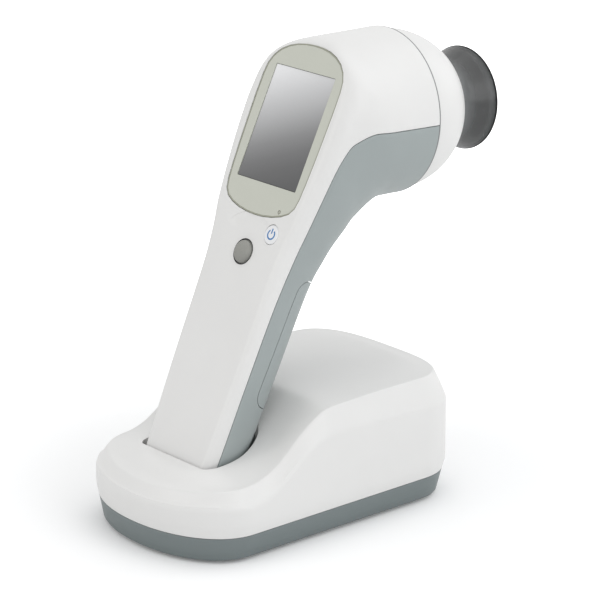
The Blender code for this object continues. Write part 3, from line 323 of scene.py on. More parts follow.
def revolve(name, profile, place, mat=None, steps=48, centre=(0.0, 0.0)):
    """Closed or axis-touching profile of (radius, height) about the place's Z."""
    verts = []
    index = []
    for r, z in profile:
        if r < 1e-6:
            index.append([len(verts)] * steps)
            verts.append(place @ Vector((centre[0], centre[1], z)))
        else:
            row = []
            for i in range(steps):
                a = TAU * i / steps
                row.append(len(verts))
                verts.append(place @ Vector((centre[0] + r * math.cos(a), centre[1] + r * math.sin(a), z)))
            index.append(row)
    faces = []
    count = len(profile)
    closed = profile[0][0] > 1e-6
    for k in range(count if closed else count - 1):
        a = index[k]
        b = index[(k + 1) % count]
        for i in range(steps):
            j = (i + 1) % steps
            faces.append([a[i], a[j], b[j], b[i]])
    return add_mesh(name, verts, faces, mat)


def boolean(target, cutter, operation="DIFFERENCE"):
    """Cuts, joins or crosses the target with a tool, which is then removed."""
    mod = target.modifiers.new("cut", "BOOLEAN")
    mod.operation = operation
    mod.solver = "EXACT"
    mod.object = cutter
    deps = bpy.context.evaluated_depsgraph_get()
    deps.update()
    result = bpy.data.meshes.new_from_object(target.evaluated_get(deps))
    target.modifiers.clear()
    old = target.data
    target.data = result
    bpy.data.meshes.remove(old)
    bpy.data.objects.remove(cutter, do_unlink=True)
    bm = bmesh.new()
    bm.from_mesh(target.data)
    bmesh.ops.remove_doubles(bm, verts=bm.verts[:], dist=2e-5)
    bmesh.ops.dissolve_degenerate(bm, edges=bm.edges[:], dist=1e-5)
    bm.to_mesh(target.data)
    bm.free()


# ------------------------------------------------------- handpiece surface
def barrel_row(s, before, lean):
    """Cross-section of the barrel cut by a plane leaning towards the operator."""
    c = Vector((0.0, BARREL_Y, BARREL_Z)) - HEAD_H * before
    a = math.radians(lean)
    d = HEAD_G * math.cos(a) - HEAD_H * math.sin(a)
    half = BARREL_R / math.cos(a)
    inv = FACE.inverted()
    top = (BARREL_R - BARREL_DROP * before) / math.cos(a)
    f = inv @ (c + d * top)
    b = inv @ (c - d * half)
    return (s, f.y, f.z, b.y, b.z, top, BARREL_R, 0.05, 0.05, 2.0, 2.0)


def on_axis(row):
    """The same row with its parting line moved onto the barrel's axis."""
    f = face_point(0.0, row[1], row[2])
    d = (face_point(0.0, row[3], row[4]) - f).normalized()
    rel = Vector((0.0, BARREL_Y, BARREL_Z)) - f
    t = (rel.y * HEAD_H.z - rel.z * HEAD_H.y) / (d.y * HEAD_H.z - d.z * HEAD_H.y)
    return row[:5] + (t,) + row[6:]


ROWS = [on_axis(r) if r[0] > 33.0 else r for r in SECTIONS] + [barrel_row(*r) for r in BARREL_SECTIONS]


def section(s, inset):
    """Section at station s: the frame of the plane and its outline sizes."""
    fv, fn, bv, bn, part, w, xf, xb, p, q = smooth_rows(ROWS, s)
    f = face_point(0.0, fv, fn)
    b = face_point(0.0, bv, bn)
    d = (f - b).normalized()
    length = (f - b).length
    return {"mid": f - d * part, "d": d, "front": part - inset, "back": length - part - inset,
            "w": w - inset, "xf": max(xf - 0.6 * inset, 0.05),
            "xb": max(xb - 0.4 * inset, 0.05), "p": p, "q": q}


FRONT_STEPS = [1.0 - i / 26 for i in range(27)]


def half_curve(sec, side, gap):
    """Points (x, distance along d) from the centre out to the parting line."""
    deep = sec["front"] if side > 0 else sec["back"]
    flat = sec["xf"] if side > 0 else sec["xb"]
    power = sec["p"] if side > 0 else sec["q"]
    pts = [(0.0, deep), (flat * 0.25, deep), (flat * 0.5, deep), (flat * 0.75, deep)]
    for k in FRONT_STEPS:
        a = k * math.pi / 2
        x = flat + (sec["w"] - flat) * max(math.cos(a), 0.0) ** (2.0 / power)
        y = gap + (deep - gap) * math.sin(a) ** (2.0 / power)
        pts.append((x, y))
    w = pts[-1][0]
    pts[-1] = (w, gap + RIM)
    pts += [(w - 0.3 * RIM, gap + 0.3 * RIM), (w - RIM, gap)]
    return pts


def skin_row(s, inset, side, gap):
    """One row of the shell's surface, from one parting edge to the other."""
    sec = section(s, inset)
    half = half_curve(sec, side, gap)
    full = [(-x, y) for x, y in reversed(half)] + half[1:]
    return [sec["mid"] + X_AXIS * x + sec["d"] * (side * y) for x, y in full]


def relaxed(rows, stations):
    """The rows with the turn from handle to barrel evened out."""
    for _ in range(RELAX_STEPS):
        new = list(rows)
        for i in range(1, len(rows) - 1):
            if RELAX_FROM < stations[i] < RELAX_TO:
                new[i] = [(a + b * 2.0 + c) * 0.25 for a, b, c in zip(rows[i - 1], rows[i], rows[i + 1])]
        rows = new
    return rows


def skin(name, side, inset_out, inset_in, gap, stations, mat=None):
    """Half of the handpiece wall: an open trough with its four rims."""
    outer = relaxed([skin_row(s, inset_out, side, gap) for s in stations], stations)
    inner = relaxed([skin_row(s, inset_in, side, gap) for s in stations], stations)
    m = len(outer)
    n = len(outer[0])
    verts = [p for row in outer for p in row] + [p for row in inner for p in row]
    base = m * n
    faces = []
    for i in range(m - 1):
        for j in range(n - 1):
            a = i * n + j
            faces.append([a, a + 1, a + n + 1, a + n])
            faces.append([base + a, base + a + n, base + a + n + 1, base + a + 1])
        for j in (0, n - 1):
            a = i * n + j
            faces.append([a, a + n, base + a + n, base + a])
    for i in (0, m - 1):
        for j in range(n - 1):
            a = i * n + j
            faces.append([a, base + a, base + a + 1, a + 1])
    return add_mesh(name, verts, faces, mat)


def section_outline(s, inset):
    """Whole closed outline of the handle at one station, as (x, along d)."""
    sec = section(s, inset)
    front = half_curve(sec, 1, 0.0)
    back = [(x, -y) for x, y in half_curve(sec, -1, 0.0)]
    right = front + list(reversed(back))[1:]
    left = [(-x, y) for x, y in reversed(right)][1:-1]
    return sec, right + left


def side_outline(v0, v1, n0, n1, r):
    """Rounded outline in the side view, as (v, n), rounded at the n1 corners."""
    pts = [(v0, n0)]
    for i in range(7):
        a = math.pi / 2 * i / 6
        pts.append((v0 + r - r * math.cos(a), n1 - r + r * math.sin(a)))
    for i in range(7):
        a = math.pi / 2 * (1 - i / 6)
        pts.append((v1 - r + r * math.cos(a), n1 - r + r * math.sin(a)))
    pts.append((v1, n0))
    return pts


SIDE = frame_matrix(face_point(0, 0, 0), FACE_V, FACE_N, X_AXIS)


def door_prism(name, grow):
    """Cutter for the battery door's outline, seen from the side."""
    pts = side_outline(DOOR_LOW - grow, DOOR_TOP + grow, -50.0, DOOR_EDGE + grow, 6.0 + grow)
    return prism(name, pts, -40.0, 40.0, SIDE)


def frame_outline(grow):
    """Display frame's outline, moved outwards by a distance."""
    right = list(FRAME_HALF)
    pts = right + [(-u, v) for u, v in reversed(right[1:-1])]
    out = []
    n = len(pts)
    for i in range(n):
        a = Vector(pts[i - 1])
        b = Vector(pts[(i + 1) % n])
        t = (b - a).normalized()
        out.append((pts[i][0] - t.y * grow, pts[i][1] + t.x * grow))
    return out


def face_cut(name, outline, z0, z1):
    return prism(name, outline, z0, z1, FACE)


PLAN_STEPS = 40
SIDE_STEPS = [i / 60 for i in range(61)]
BEVEL_SHARES = (0.36, 0.46, 0.56, 0.66, 0.75, 0.83, 0.90, 0.97, 1.05, 1.15, 1.27, 1.42)
DECK_RINGS = (8.5, 10.0, 12.0, 14.0, 16.0, 18.0, 20.0, 22.5, 26.0, 30.0, 35.0, 40.0)


def shrunk(depth, inset, half_w):
    """Depth of an end's curve, which closes as the two sides meet."""
    if inset <= 8.0:
        return depth - inset
    return (depth - 8.0) * (half_w - inset) / (half_w - 8.0)


def plan_half(inset, half_w, nose):
    """Right half of the dock's plan from nose to rear, inset by a distance."""
    a = half_w - inset
    d = shrunk(nose, inset, half_w)
    e = shrunk(REAR_DEPTH - (DOCK_HALF_W - half_w), inset, half_w)
    pts = []
    for i in range(PLAN_STEPS):
        t = math.pi / 2 * i / PLAN_STEPS
        pts.append((a * math.sin(t) ** 0.96, STRAIGHT_Y0 - d * max(math.cos(t), 0.0) ** 0.96))
    for k in SIDE_STEPS:
        pts.append((a, STRAIGHT_Y0 + (STRAIGHT_Y1 - STRAIGHT_Y0) * k))
    for i in range(1, PLAN_STEPS + 1):
        t = math.pi / 2 * i / PLAN_STEPS
        pts.append((a * max(math.cos(t), 0.0) ** 0.62, STRAIGHT_Y1 + e * math.sin(t) ** 0.86))
    pts[-1] = (0.0, STRAIGHT_Y1 + e)
    return pts


def loop_of(half):
    return half + [(-x, y) for x, y in reversed(half[1:-1])]


def top_z(y, width):
    """Height of the top at a distance in from the dock's side."""
    shoulder = smooth_rows(DOCK_SHOULDER, y)[0]
    middle = smooth_rows(DOCK_TOP, y)[0]
    k = min(max((width - BEVEL_W) / MIDDLE_WIDTH, 0.0), 1.0)
    return shoulder + (middle - shoulder) * k * k * (3.0 - 2.0 * k)


def low_edge(y):
    """Lower edge of the bevel round the top."""
    return smooth_rows(DOCK_BEVEL_FOOT, y)[0]


def bevel_rise(k):
    """Share of the bevel's height at a share of its width: a flat with soft ends."""
    flat = 0.97 * k + 0.03
    return 1.0 - math.log1p(math.exp((1.0 - flat) * 40.0)) / 40.0 if k > 0.6 else flat


def dock_skin(name, inset, z_floor, drop, mat=None):
    """Closed body under the dock's top surface, shrunk by a distance."""
    levels = []
    belt = plan_half(inset, DOCK_HALF_W, NOSE_DEPTH)
    share = (DOCK_BELT_Z - z_floor) / (DOCK_BELT_Z - DOCK_BASE_Z)
    low_w = DOCK_HALF_W - (DOCK_HALF_W - DOCK_FLOOR_HALF_W) * share
    low_n = NOSE_DEPTH - NOSE_TAPER * share
    levels.append([(x, y, z_floor) for x, y in plan_half(inset, low_w, low_n)])
    if z_floor < DOCK_BELT_Z - 1.0:
        levels.append([(x, y, DOCK_BELT_Z - 1.2) for x, y in plan_half(inset + 0.12, DOCK_HALF_W, NOSE_DEPTH)])
    levels.append([(x, y, DOCK_BELT_Z + 0.8) for x, y in belt])
    rings = [(0.1, -0.9, 0), (0.3, -0.1, 0), (0.8, 0.7, 0), (1.5, 1.7, 0)]
    rings += [(BEVEL_W * k, bevel_rise(k), 1) for k in BEVEL_SHARES]
    rings += [(w, 1.0, 1) for w in DECK_RINGS + (DOCK_HALF_W - inset - 2.5,)]
    ref = plan_half(inset, DOCK_HALF_W, NOSE_DEPTH)
    for width, rise, on_top in rings:
        row = []
        pts = plan_half(inset + width * (1.0 if on_top else 0.5), DOCK_HALF_W, NOSE_DEPTH)
        for (x, y), (rx, ry) in zip(pts, ref):
            z = low_edge(ry)
            z += (top_z(y, width) - z) * rise if on_top else rise
            row.append((x, y, z - drop))
        levels.append(row)
    half_n = len(levels[0])
    verts = []
    for row in levels:
        verts += row
        verts += [(-x, y, z) for x, y, z in reversed(row[1:-1])]
    n = 2 * half_n - 2
    faces = [list(range(n))]
    for k in range(len(levels) - 1):
        for i in range(n):
            j = (i + 1) % n
            faces.append([k * n + i, k * n + j, (k + 1) * n + j, (k + 1) * n + i])
    t = (len(levels) - 1) * n
    for i in range(half_n - 1):
        a = t + i
        b = t + i + 1
        c = t + (n - i - 1) % n if i + 1 < half_n - 1 else b
        d = t + (n - i) % n if i > 0 else a
        quad = []
        for v in (a, b, c, d):
            if v not in quad:
                quad.append(v)
        if len(quad) > 2:
            faces.append(quad)
    return add_mesh(name, verts, faces, mat)


SLOT_UP = frame_matrix(LIFT_ORIGIN, X_AXIS, LIFT_N, X_AXIS.cross(LIFT_N))
UP_SIGN = 1.0 if X_AXIS.cross(LIFT_N).dot(LIFT_DIR) > 0 else -1.0


def slot_body(name, pts, low, high):
    """Cutter along the way the handle leaves the dock."""
    a = UP_SIGN * low
    b = UP_SIGN * high
    return prism(name, pts, min(a, b), max(a, b), SLOT_UP)


# ---------------------------------------------------------------- materials
def new_material(name):
    mat = bpy.data.materials.new(name)
    mat.use_nodes = True
    tree = mat.node_tree
    return mat, tree.nodes, tree.links, tree.nodes["Principled BSDF"]


def ramp(tree_nodes, stops):
    node = tree_nodes.new("ShaderNodeValToRGB")
    while len(node.color_ramp.elements) < len(stops):
        node.color_ramp.elements.new(0.5)
    for element, (pos, col) in zip(node.color_ramp.elements, stops):
        element.position = pos
        element.color = (col[0], col[1], col[2], 1.0)
    return node


def noise(tree_nodes, links, coord, scale, detail=4.0, rough=0.55):
    node = tree_nodes.new("ShaderNodeTexNoise")
    node.inputs["Scale"].default_value = scale
    node.inputs["Detail"].default_value = detail
    node.inputs["Roughness"].default_value = rough
    links.new(coord, node.inputs["Vector"])
    return node.outputs["Fac"]


def between(tree_nodes, links, source, low, high):
    """The source's 0 to 1 moved to a range of its own."""
    node = tree_nodes.new("ShaderNodeMapRange")
    node.inputs["To Min"].default_value = low
    node.inputs["To Max"].default_value = high
    links.new(source, node.inputs["Value"])
    return node.outputs["Result"]


def add_grain(tree_nodes, links, bsdf, height, strength):
    """Fine bumps from a height texture."""
    node = tree_nodes.new("ShaderNodeBump")
    node.inputs["Strength"].default_value = strength
    node.inputs["Distance"].default_value = GRAIN_HEIGHT
    links.new(height, node.inputs["Height"])
    links.new(node.outputs["Normal"], bsdf.inputs["Normal"])


def along_axis(tree_nodes, links, coord, axis, low, high):
    """0 to 1 between two distances along an axis."""
    dot = tree_nodes.new("ShaderNodeVectorMath")
    dot.operation = "DOT_PRODUCT"
    dot.inputs[1].default_value = axis[:]
    links.new(coord, dot.inputs[0])
    node = tree_nodes.new("ShaderNodeMapRange")
    node.inputs["From Min"].default_value = low
    node.inputs["From Max"].default_value = high
    links.new(dot.outputs["Value"], node.inputs["Value"])
    return node.outputs["Result"]


def moulded(name, color, rough, spread=0.03, grain=1500.0, bump=0.05, wear=0.06, coat=0.0, rough_spread=0.06):
    """Moulded plastic: fine spark grain, slow colour drift and rubbed edges."""
    mat, tree_nodes, links, bsdf = new_material(name)
    coord = tree_nodes.new("ShaderNodeTexCoord").outputs["Object"]
    dark = [c * (1.0 - spread) for c in color]
    light = [min(c * (1.0 + spread), 1.0) for c in color]
    base = ramp(tree_nodes, ((0.3, dark), (0.7, light)))
    links.new(noise(tree_nodes, links, coord, 28.0, 3.0), base.inputs["Fac"])
    edge = ramp(tree_nodes, ((0.52, (0, 0, 0)), (0.60, (1, 1, 1))))
    links.new(tree_nodes.new("ShaderNodeNewGeometry").outputs["Pointiness"], edge.inputs["Fac"])
    scuff = tree_nodes.new("ShaderNodeMath")
    scuff.operation = "MULTIPLY"
    links.new(edge.outputs["Color"], scuff.inputs[0])
    links.new(noise(tree_nodes, links, coord, 350.0, 5.0, 0.7), scuff.inputs[1])
    mix = tree_nodes.new("ShaderNodeMix")
    mix.data_type = "RGBA"
    links.new(scuff.outputs["Value"], mix.inputs["Factor"])
    links.new(base.outputs["Color"], mix.inputs["A"])
    worn = [min(c + wear, 1.0) for c in color]
    mix.inputs["B"].default_value = (worn[0], worn[1], worn[2], 1.0)
    links.new(mix.outputs["Result"], bsdf.inputs["Base Color"])
    patches = noise(tree_nodes, links, coord, 160.0, 4.0, 0.6)
    links.new(between(tree_nodes, links, patches, rough - rough_spread, rough + rough_spread),
              bsdf.inputs["Roughness"])
    add_grain(tree_nodes, links, bsdf, noise(tree_nodes, links, coord, grain, 3.0, 0.6), bump)
    bsdf.inputs["Coat Weight"].default_value = coat
    bsdf.inputs["Coat Roughness"].default_value = 0.08
    return mat


def metal(name, color, rough):
    mat = moulded(name, color, rough, 0.05, 2500.0, 0.04, 0.08)
    mat.node_tree.nodes["Principled BSDF"].inputs["Metallic"].default_value = 1.0
    return mat


def screen_reflection_material():
    """Screen at rest with a painted reflection: light at its top left corner, dark at the bottom."""
    mat, tree_nodes, links, bsdf = new_material("screen")
    coord = tree_nodes.new("ShaderNodeTexCoord").outputs["Object"]
    axis = FACE_V - X_AXIS * REFLECTION_SLANT
    middle = Vector((0.0, -Y_MID * MM, SCREEN_Z * MM)).dot(axis)
    span = (SCREEN_H + SCREEN_W * REFLECTION_SLANT) * 0.5 * MM
    color = ramp(tree_nodes, [(pos, (g, g, g * 1.01)) for pos, g in SCREEN_REFLECTION_GREYS])
    links.new(along_axis(tree_nodes, links, coord, axis, middle - span, middle + span), color.inputs["Fac"])
    links.new(color.outputs["Color"], bsdf.inputs["Base Color"])
    patches = noise(tree_nodes, links, coord, 300.0)
    links.new(between(tree_nodes, links, patches, 0.10, 0.16), bsdf.inputs["Roughness"])
    bsdf.inputs["Specular IOR Level"].default_value = 0.25
    return mat


def rubber_and_seat_shadow_material():
    """Smoky see-through rubber of the eyecup, in lighter and darker bands from its neck to its rim, with a
    painted shadow at its foot where it sits on the dome.
    """
    mat, tree_nodes, links, bsdf = new_material("cup_rubber")
    coord = tree_nodes.new("ShaderNodeTexCoord").outputs["Object"]
    start = (HEAD.translation - Vector((0.0, Y_MID, 0.0))).dot(HEAD_H)
    low = (start + DOME_END) * MM
    high = (start + CUP_RIM_H) * MM
    color = ramp(tree_nodes, [(pos, (g, g * 1.06, g * 1.07)) for pos, g in CUP_BANDS_AND_SEAT_SHADOW])
    links.new(along_axis(tree_nodes, links, coord, HEAD_H, low, high), color.inputs["Fac"])
    smoke = tree_nodes.new("ShaderNodeMix")
    smoke.data_type = "RGBA"
    smoke.inputs["B"].default_value = (0.055, 0.057, 0.056, 1.0)
    cloud = noise(tree_nodes, links, coord, 45.0, 3.0)
    links.new(between(tree_nodes, links, cloud, 0.0, 0.4), smoke.inputs["Factor"])
    links.new(color.outputs["Color"], smoke.inputs["A"])
    links.new(smoke.outputs["Result"], bsdf.inputs["Base Color"])
    patches = noise(tree_nodes, links, coord, 220.0)
    links.new(between(tree_nodes, links, patches, 0.20, 0.30), bsdf.inputs["Roughness"])
    add_grain(tree_nodes, links, bsdf, noise(tree_nodes, links, coord, 900.0), 0.08)
    bsdf.inputs["Subsurface Weight"].default_value = 0.15
    bsdf.inputs["Subsurface Radius"].default_value = (0.004, 0.004, 0.004)
    bsdf.inputs["Subsurface Scale"].default_value = 1.0
    bsdf.inputs["Alpha"].default_value = 0.88
    return mat


GRAIN_HEIGHT = 0.0003      # metres
REFLECTION_SLANT = 0.42        # how far the screen's painted reflection gradient leans to the left
# greys of the painted reflection on the screen, from its bottom right up to its top left
SCREEN_REFLECTION_GREYS = ((0.05, 0.115), (0.2, 0.145), (0.3, 0.185), (0.42, 0.265), (0.52, 0.37),
                (0.62, 0.48), (0.72, 0.58), (0.82, 0.69), (0.93, 0.80), (1.0, 0.86))
# greys along the eyecup from neck to rim; the dark first band is a painted shadow where the cup sits on the
# dome
CUP_BANDS_AND_SEAT_SHADOW = ((0.1, 0.02), (0.2, 0.15), (0.36, 0.11), (0.55, 0.04), (0.74, 0.022), (0.87, 0.05),
             (0.95, 0.06), (0.99, 0.01))

WHITE = moulded("white_shell", (0.755, 0.75, 0.738), 0.36, 0.012, 1700.0, 0.035, 0.03)
GREY = moulded("grey_shell", (0.325, 0.361, 0.359), 0.42, 0.03, 1500.0, 0.07, 0.05)
BASE_GREY = moulded("dock_grey", (0.165, 0.194, 0.196), 0.45, 0.03, 1500.0, 0.07, 0.04)
SAGE = moulded("frame_sage", (0.535, 0.545, 0.475), 0.22, 0.02, 900.0, 0.01, 0.03, 0.5, 0.03)
# darker sage for the painted shadow line round the display frame
SAGE_PAINTED_SHADOW = moulded("frame_shadow_line", (0.30, 0.305, 0.235), 0.3, 0.02, 900.0, 0.01, 0.03, 0.3, 0.03)
STICK = moulded("stick_grey", (0.24, 0.24, 0.22), 0.45, 0.4, 1100.0, 0.9, 0.08)
BUTTON = moulded("button_white", (0.80, 0.805, 0.815), 0.28, 0.01, 1700.0, 0.02, 0.02, 0.3)
ICON = moulded("icon_blue", (0.035, 0.17, 0.42), 0.4, 0.03, 1500.0, 0.02, 0.02)
BLACK = moulded("black_plastic", (0.02, 0.02, 0.022), 0.45, 0.1, 1500.0, 0.08, 0.03)
BOARD = moulded("board_green", (0.02, 0.14, 0.06), 0.4, 0.12, 700.0, 0.08, 0.05)
CELL = moulded("cell_blue", (0.08, 0.14, 0.28), 0.35, 0.05, 900.0, 0.04, 0.05, 0.3)
BOWL = moulded("bowl_white", (0.86, 0.86, 0.85), 0.75, 0.01, 1500.0, 0.03, 0.01)
FOOT = moulded("foot_rubber", (0.03, 0.03, 0.03), 0.8, 0.1, 1200.0, 0.2, 0.03)
PIPE = moulded("light_pipe", (0.34, 0.34, 0.28), 0.2, 0.05, 1500.0, 0.02, 0.03, 0.4)
# grey of the ring in the head's seam: painted shadow of the gap
SEAM_SHADE = moulded("seam_shade_grey", (0.22, 0.225, 0.225), 0.5, 0.05, 1500.0, 0.03, 0.02)
STEEL = metal("steel", (0.55, 0.55, 0.56), 0.32)
GOLD = metal("contact_gold", (0.83, 0.60, 0.25), 0.28)
SCREEN_PAINTED_REFLECTION = screen_reflection_material()
CUP = rubber_and_seat_shadow_material()
CUP_EDGE = moulded("cup_edge", (0.008, 0.008, 0.009), 0.5, 0.2, 900.0, 0.05, 0.01)
CUP_EDGE.node_tree.nodes["Principled BSDF"].inputs["Specular IOR Level"].default_value = 0.2


# ---------------------------------------------------------- handpiece pieces
def thumb_dish():
    """Cutter for the shallow dish round the joystick, running out softly."""
    steps = 24
    profile = [(0.0, DISH_TOP - 0.005 - DISH_SINK)]
    for i in range(1, steps + 1):
        fall = 0.5 * (1.0 + math.cos(math.pi * i / steps))
        profile.append((DISH_R * i / steps, DISH_TOP - DISH_SINK * fall))
    profile += [(DISH_R + 3.0, DISH_TOP + 0.125), (DISH_R + 6.0, DISH_TOP + 0.445), (DISH_R + 6.0, 3.0),
                (0.0, 3.0)]
    return revolve("dish", profile, FACE, None, 64, (0.0, STICK_V))


def build_front_shell():
    """White half of the handpiece with its pocket, window, holes and dish."""
    shell = skin("shell_front", 1, 0.0, WALL, SEAM, STATION_LIST, WHITE)
    window = rounded_rect(0, 0, SCREEN_W + WINDOW_ROOM, SCREEN_H + WINDOW_ROOM, 1.5)
    boolean(shell, face_cut("pocket", frame_outline(0.2), -POCKET_DEPTH, 4.0))
    boolean(shell, face_cut("window", window, -4.0, 1.0))
    boolean(shell, face_cut("light_hole", circle(LIGHT_U, LIGHT_V, LIGHT_R + 0.25, 24), -4.0, 1.0))
    boolean(shell, thumb_dish())
    boolean(shell, face_cut("power_hole", circle(POWER_U, POWER_V, POWER_R + 0.2, 64), -6.0, 2.0))
    boolean(shell, face_cut("stick_hole", circle(0, STICK_V, STICK_HOLE_R, 64), -6.0, 2.0))
    # the joystick hole's wall below the face turns black: painted shade inside the hole
    shell.data.materials.append(BLACK)
    for poly in shell.data.polygons:
        p = FACE.inverted() @ poly.center
        if math.hypot(p.x, p.y - STICK_V) < STICK_HOLE_R + 0.02 and p.z < -0.9:
            poly.material_index = 1
    piece(shell, "handpiece", "front_shell", bevel=0.18)


def build_rear_shell_and_door():
    """Grey half of the handpiece, and the battery door cut out of it."""
    rear = skin("shell_rear", -1, 0.0, WALL, SEAM, STATION_LIST, GREY)
    near_door = [s for s in STATION_LIST if -126.0 < s < -44.0]
    door = skin("door_cover", -1, 0.0, WALL, SEAM, near_door, GREY)
    boolean(door, door_prism("door_tool", -SEAM), "INTERSECT")
    boolean(rear, door_prism("door_hole", SEAM))
    piece(rear, "handpiece", "rear_shell", bevel=0.12)
    piece(door, "battery_door", "battery_door", bevel=0.12)


def build_display():
    """Glossy plate with a darker line round it, a painted shadow of the pocket's rim, and the screen behind
    it.
    """
    top = -FACE_PLATE_SINK
    low = top - FACE_PLATE_T
    # darker ring round the frame's edge: painted shadow of the pocket's rim
    edge = prism("frame_shadow_line", frame_outline(0.0), low, top, FACE, SAGE_PAINTED_SHADOW)
    boolean(edge, face_cut("shadow_line_hole", frame_outline(-SHADOW_LINE_W), -3.0, 1.0))
    piece(edge, "handpiece", bevel=0.12)
    plate = prism("frame_plate", frame_outline(-SHADOW_LINE_W - 0.01), low, top, FACE, SAGE)
    boolean(plate, face_cut("frame_window", rounded_rect(0, 0, SCREEN_W, SCREEN_H, 0.4, 4), -3.0, 1.0))
    boolean(plate, face_cut("frame_light", circle(LIGHT_U, LIGHT_V, LIGHT_R + 0.1, 32), -3.0, 1.0))
    piece(plate, "handpiece", "display_frame", bevel=0.1)
    outline = rounded_rect(0, 0, SCREEN_W - 0.3, SCREEN_H - 0.3, 0.3, 3)
    glass = prism("screen_glass", outline, low, top - 0.35, FACE, SCREEN_PAINTED_REFLECTION)
    piece(glass, "handpiece", "display_window", bevel=0.05)


def arc_points(cx, cy, r, start, end, steps):
    """Points along an arc, its angles in degrees."""
    angles = [math.radians(start + (end - start) * i / steps) for i in range(steps + 1)]
    return [(cx + r * math.cos(a), cy + r * math.sin(a)) for a in angles]


def build_power_button():
    """Button with the plain power symbol standing a little proud of it."""
    crown = POWER_TOP + 0.16
    flange = -WALL - 0.9
    profile = [(0.0, crown)]
    for i in range(1, 9):
        profile.append(((POWER_R - 0.35) * i / 8, crown - 0.10 * (i / 8) ** 2))
    profile += [(POWER_R - 0.12, POWER_TOP - 0.04), (POWER_R, POWER_TOP - 0.22), (POWER_R, flange),
                (POWER_R + 0.8, flange), (POWER_R + 0.8, flange - 0.6), (1.2, flange - 0.6),
                (1.2, flange - 0.9), (0.0, flange - 0.9)]
    button = revolve("button_power", profile, FACE, BUTTON, 64, (POWER_U, POWER_V))
    piece(button, "power_button", "power_button")
    ends = (90.0 + ICON_GAP_DEG, 450.0 - ICON_GAP_DEG)
    outline = arc_points(POWER_U, POWER_V, ICON_R + ICON_HALF_W, ends[0], ends[1], 40)
    outline += arc_points(POWER_U, POWER_V, ICON_R - ICON_HALF_W, ends[1], ends[0], 40)
    ring = prism("power_symbol_ring", outline, POWER_TOP, POWER_TOP + 0.17, FACE, ICON)
    piece(ring, "power_button")
    outline = rounded_rect(POWER_U, POWER_V + 1.45, 0.62, 2.3, 0.25, 3)
    bar = prism("power_symbol_bar", outline, POWER_TOP, POWER_TOP + 0.18, FACE, ICON)
    piece(bar, "power_button")


def build_joystick():
    """Ridged cap with rounded shoulders, in a black ring that paints the shade inside its hole."""
    profile = [(0.0, 0.05)]
    for i in range(1, 17):
        r = STICK_R * 0.80 * i / 16
        profile.append((r, 0.05 + 0.2 * math.exp(-((r / STICK_R - 0.55) / 0.20) ** 2)))
    top = profile[-1][1]
    profile += [(STICK_R * 0.87, top - 0.22), (STICK_R * 0.93, top - 0.6), (STICK_R * 0.97, top - 1.1),
                (STICK_R, STICK_LOW + 0.5), (STICK_R, STICK_LOW + 0.3), (4.7, STICK_LOW), (1.6, STICK_LOW),
                (1.6, STICK_LOW + 0.9), (0.0, STICK_LOW + 0.9)]
    cap = revolve("stick_cap", profile, FACE, STICK, 64, (0.0, STICK_V))
    piece(cap, "joystick_cap", "joystick_cap")
    # black ring under the cap, filling the gap: painted shade inside the joystick's hole
    profile = [(STICK_HOLE_R - 0.03, -1.75), (STICK_HOLE_R - 0.03, -2.1), (STICK_R + 0.1, -2.1),
               (STICK_R + 0.1, -1.75)]
    hole_shade_ring = revolve("stick_hole_shade", profile, FACE, BLACK, 64, (0.0, STICK_V))
    piece(hole_shade_ring, "handpiece")


# --------------------------------------------------------------- head pieces
def dome_r(h):
    """Radius of the dome at a height above the seam."""
    return DOME_R * max(1.0 - (h / DOME_LENGTH) ** DOME_P, 0.0) ** (1.0 / DOME_Q)


def build_dome():
    """White dome with its mouth, and a thin dark grey ring in the seam behind it: the seam's painted shadow.
    """
    outer = [(DOME_R - 0.55, SEAM), (DOME_R - 0.22, SEAM + 0.1)]
    outer += [(dome_r(h), h) for h in (0.7, 1.2)]
    outer += [(dome_r(h), h) for h in [DOME_END * (0.06 + 0.94 * i / 30) for i in range(31)]]
    lip = outer[-1][0]
    inner = [(MOUTH_R + 1.6, DOME_END + 0.5), (MOUTH_R + 1.6, DOME_END - 3.4)]
    inner += [(dome_r(h) - DOME_WALL, h) for h in [20.2 - i for i in range(17)]]
    inner += [(DOME_R - DOME_WALL - 0.6, SEAM)]
    rim = [(lip - 1.1, DOME_END + 0.5), (lip - 0.45, DOME_END + 0.42), (lip - 0.12, DOME_END + 0.22)]
    dome = revolve("head_dome", rim + list(reversed(outer)) + list(reversed(inner)), HEAD, WHITE, 128)
    piece(dome, "handpiece", "dome_ring")
    # dark grey ring just inside the seam: painted shadow of the gap
    profile = [(BARREL_R + 0.02, 0.40), (BARREL_R + 0.02, -0.03), (BARREL_R - 1.2, -0.03),
               (BARREL_R - 1.2, 0.40)]
    seam_shade_ring = revolve("head_seam_shade", profile, HEAD, SEAM_SHADE, 128)
    piece(seam_shade_ring, "handpiece")


def smooth_profile(pts, count):
    """Evenly spaced points on a smooth curve through a profile."""
    out = []
    n = len(pts)
    for i in range(n - 1):
        p0, p1, p2, p3 = pts[max(i - 1, 0)], pts[i], pts[i + 1], pts[min(i + 2, n - 1)]
        for k in range(count):
            t = k / count
            out.append(tuple(0.5 * ((2 * b) + (c - a) * t + (2 * a - 5 * b + 4 * c - d) * t * t
                                    + (3 * b - a - 3 * c + d) * t ** 3)
                             for a, b, c, d in zip(p0, p1, p2, p3)))
    out.append(pts[-1])
    return out


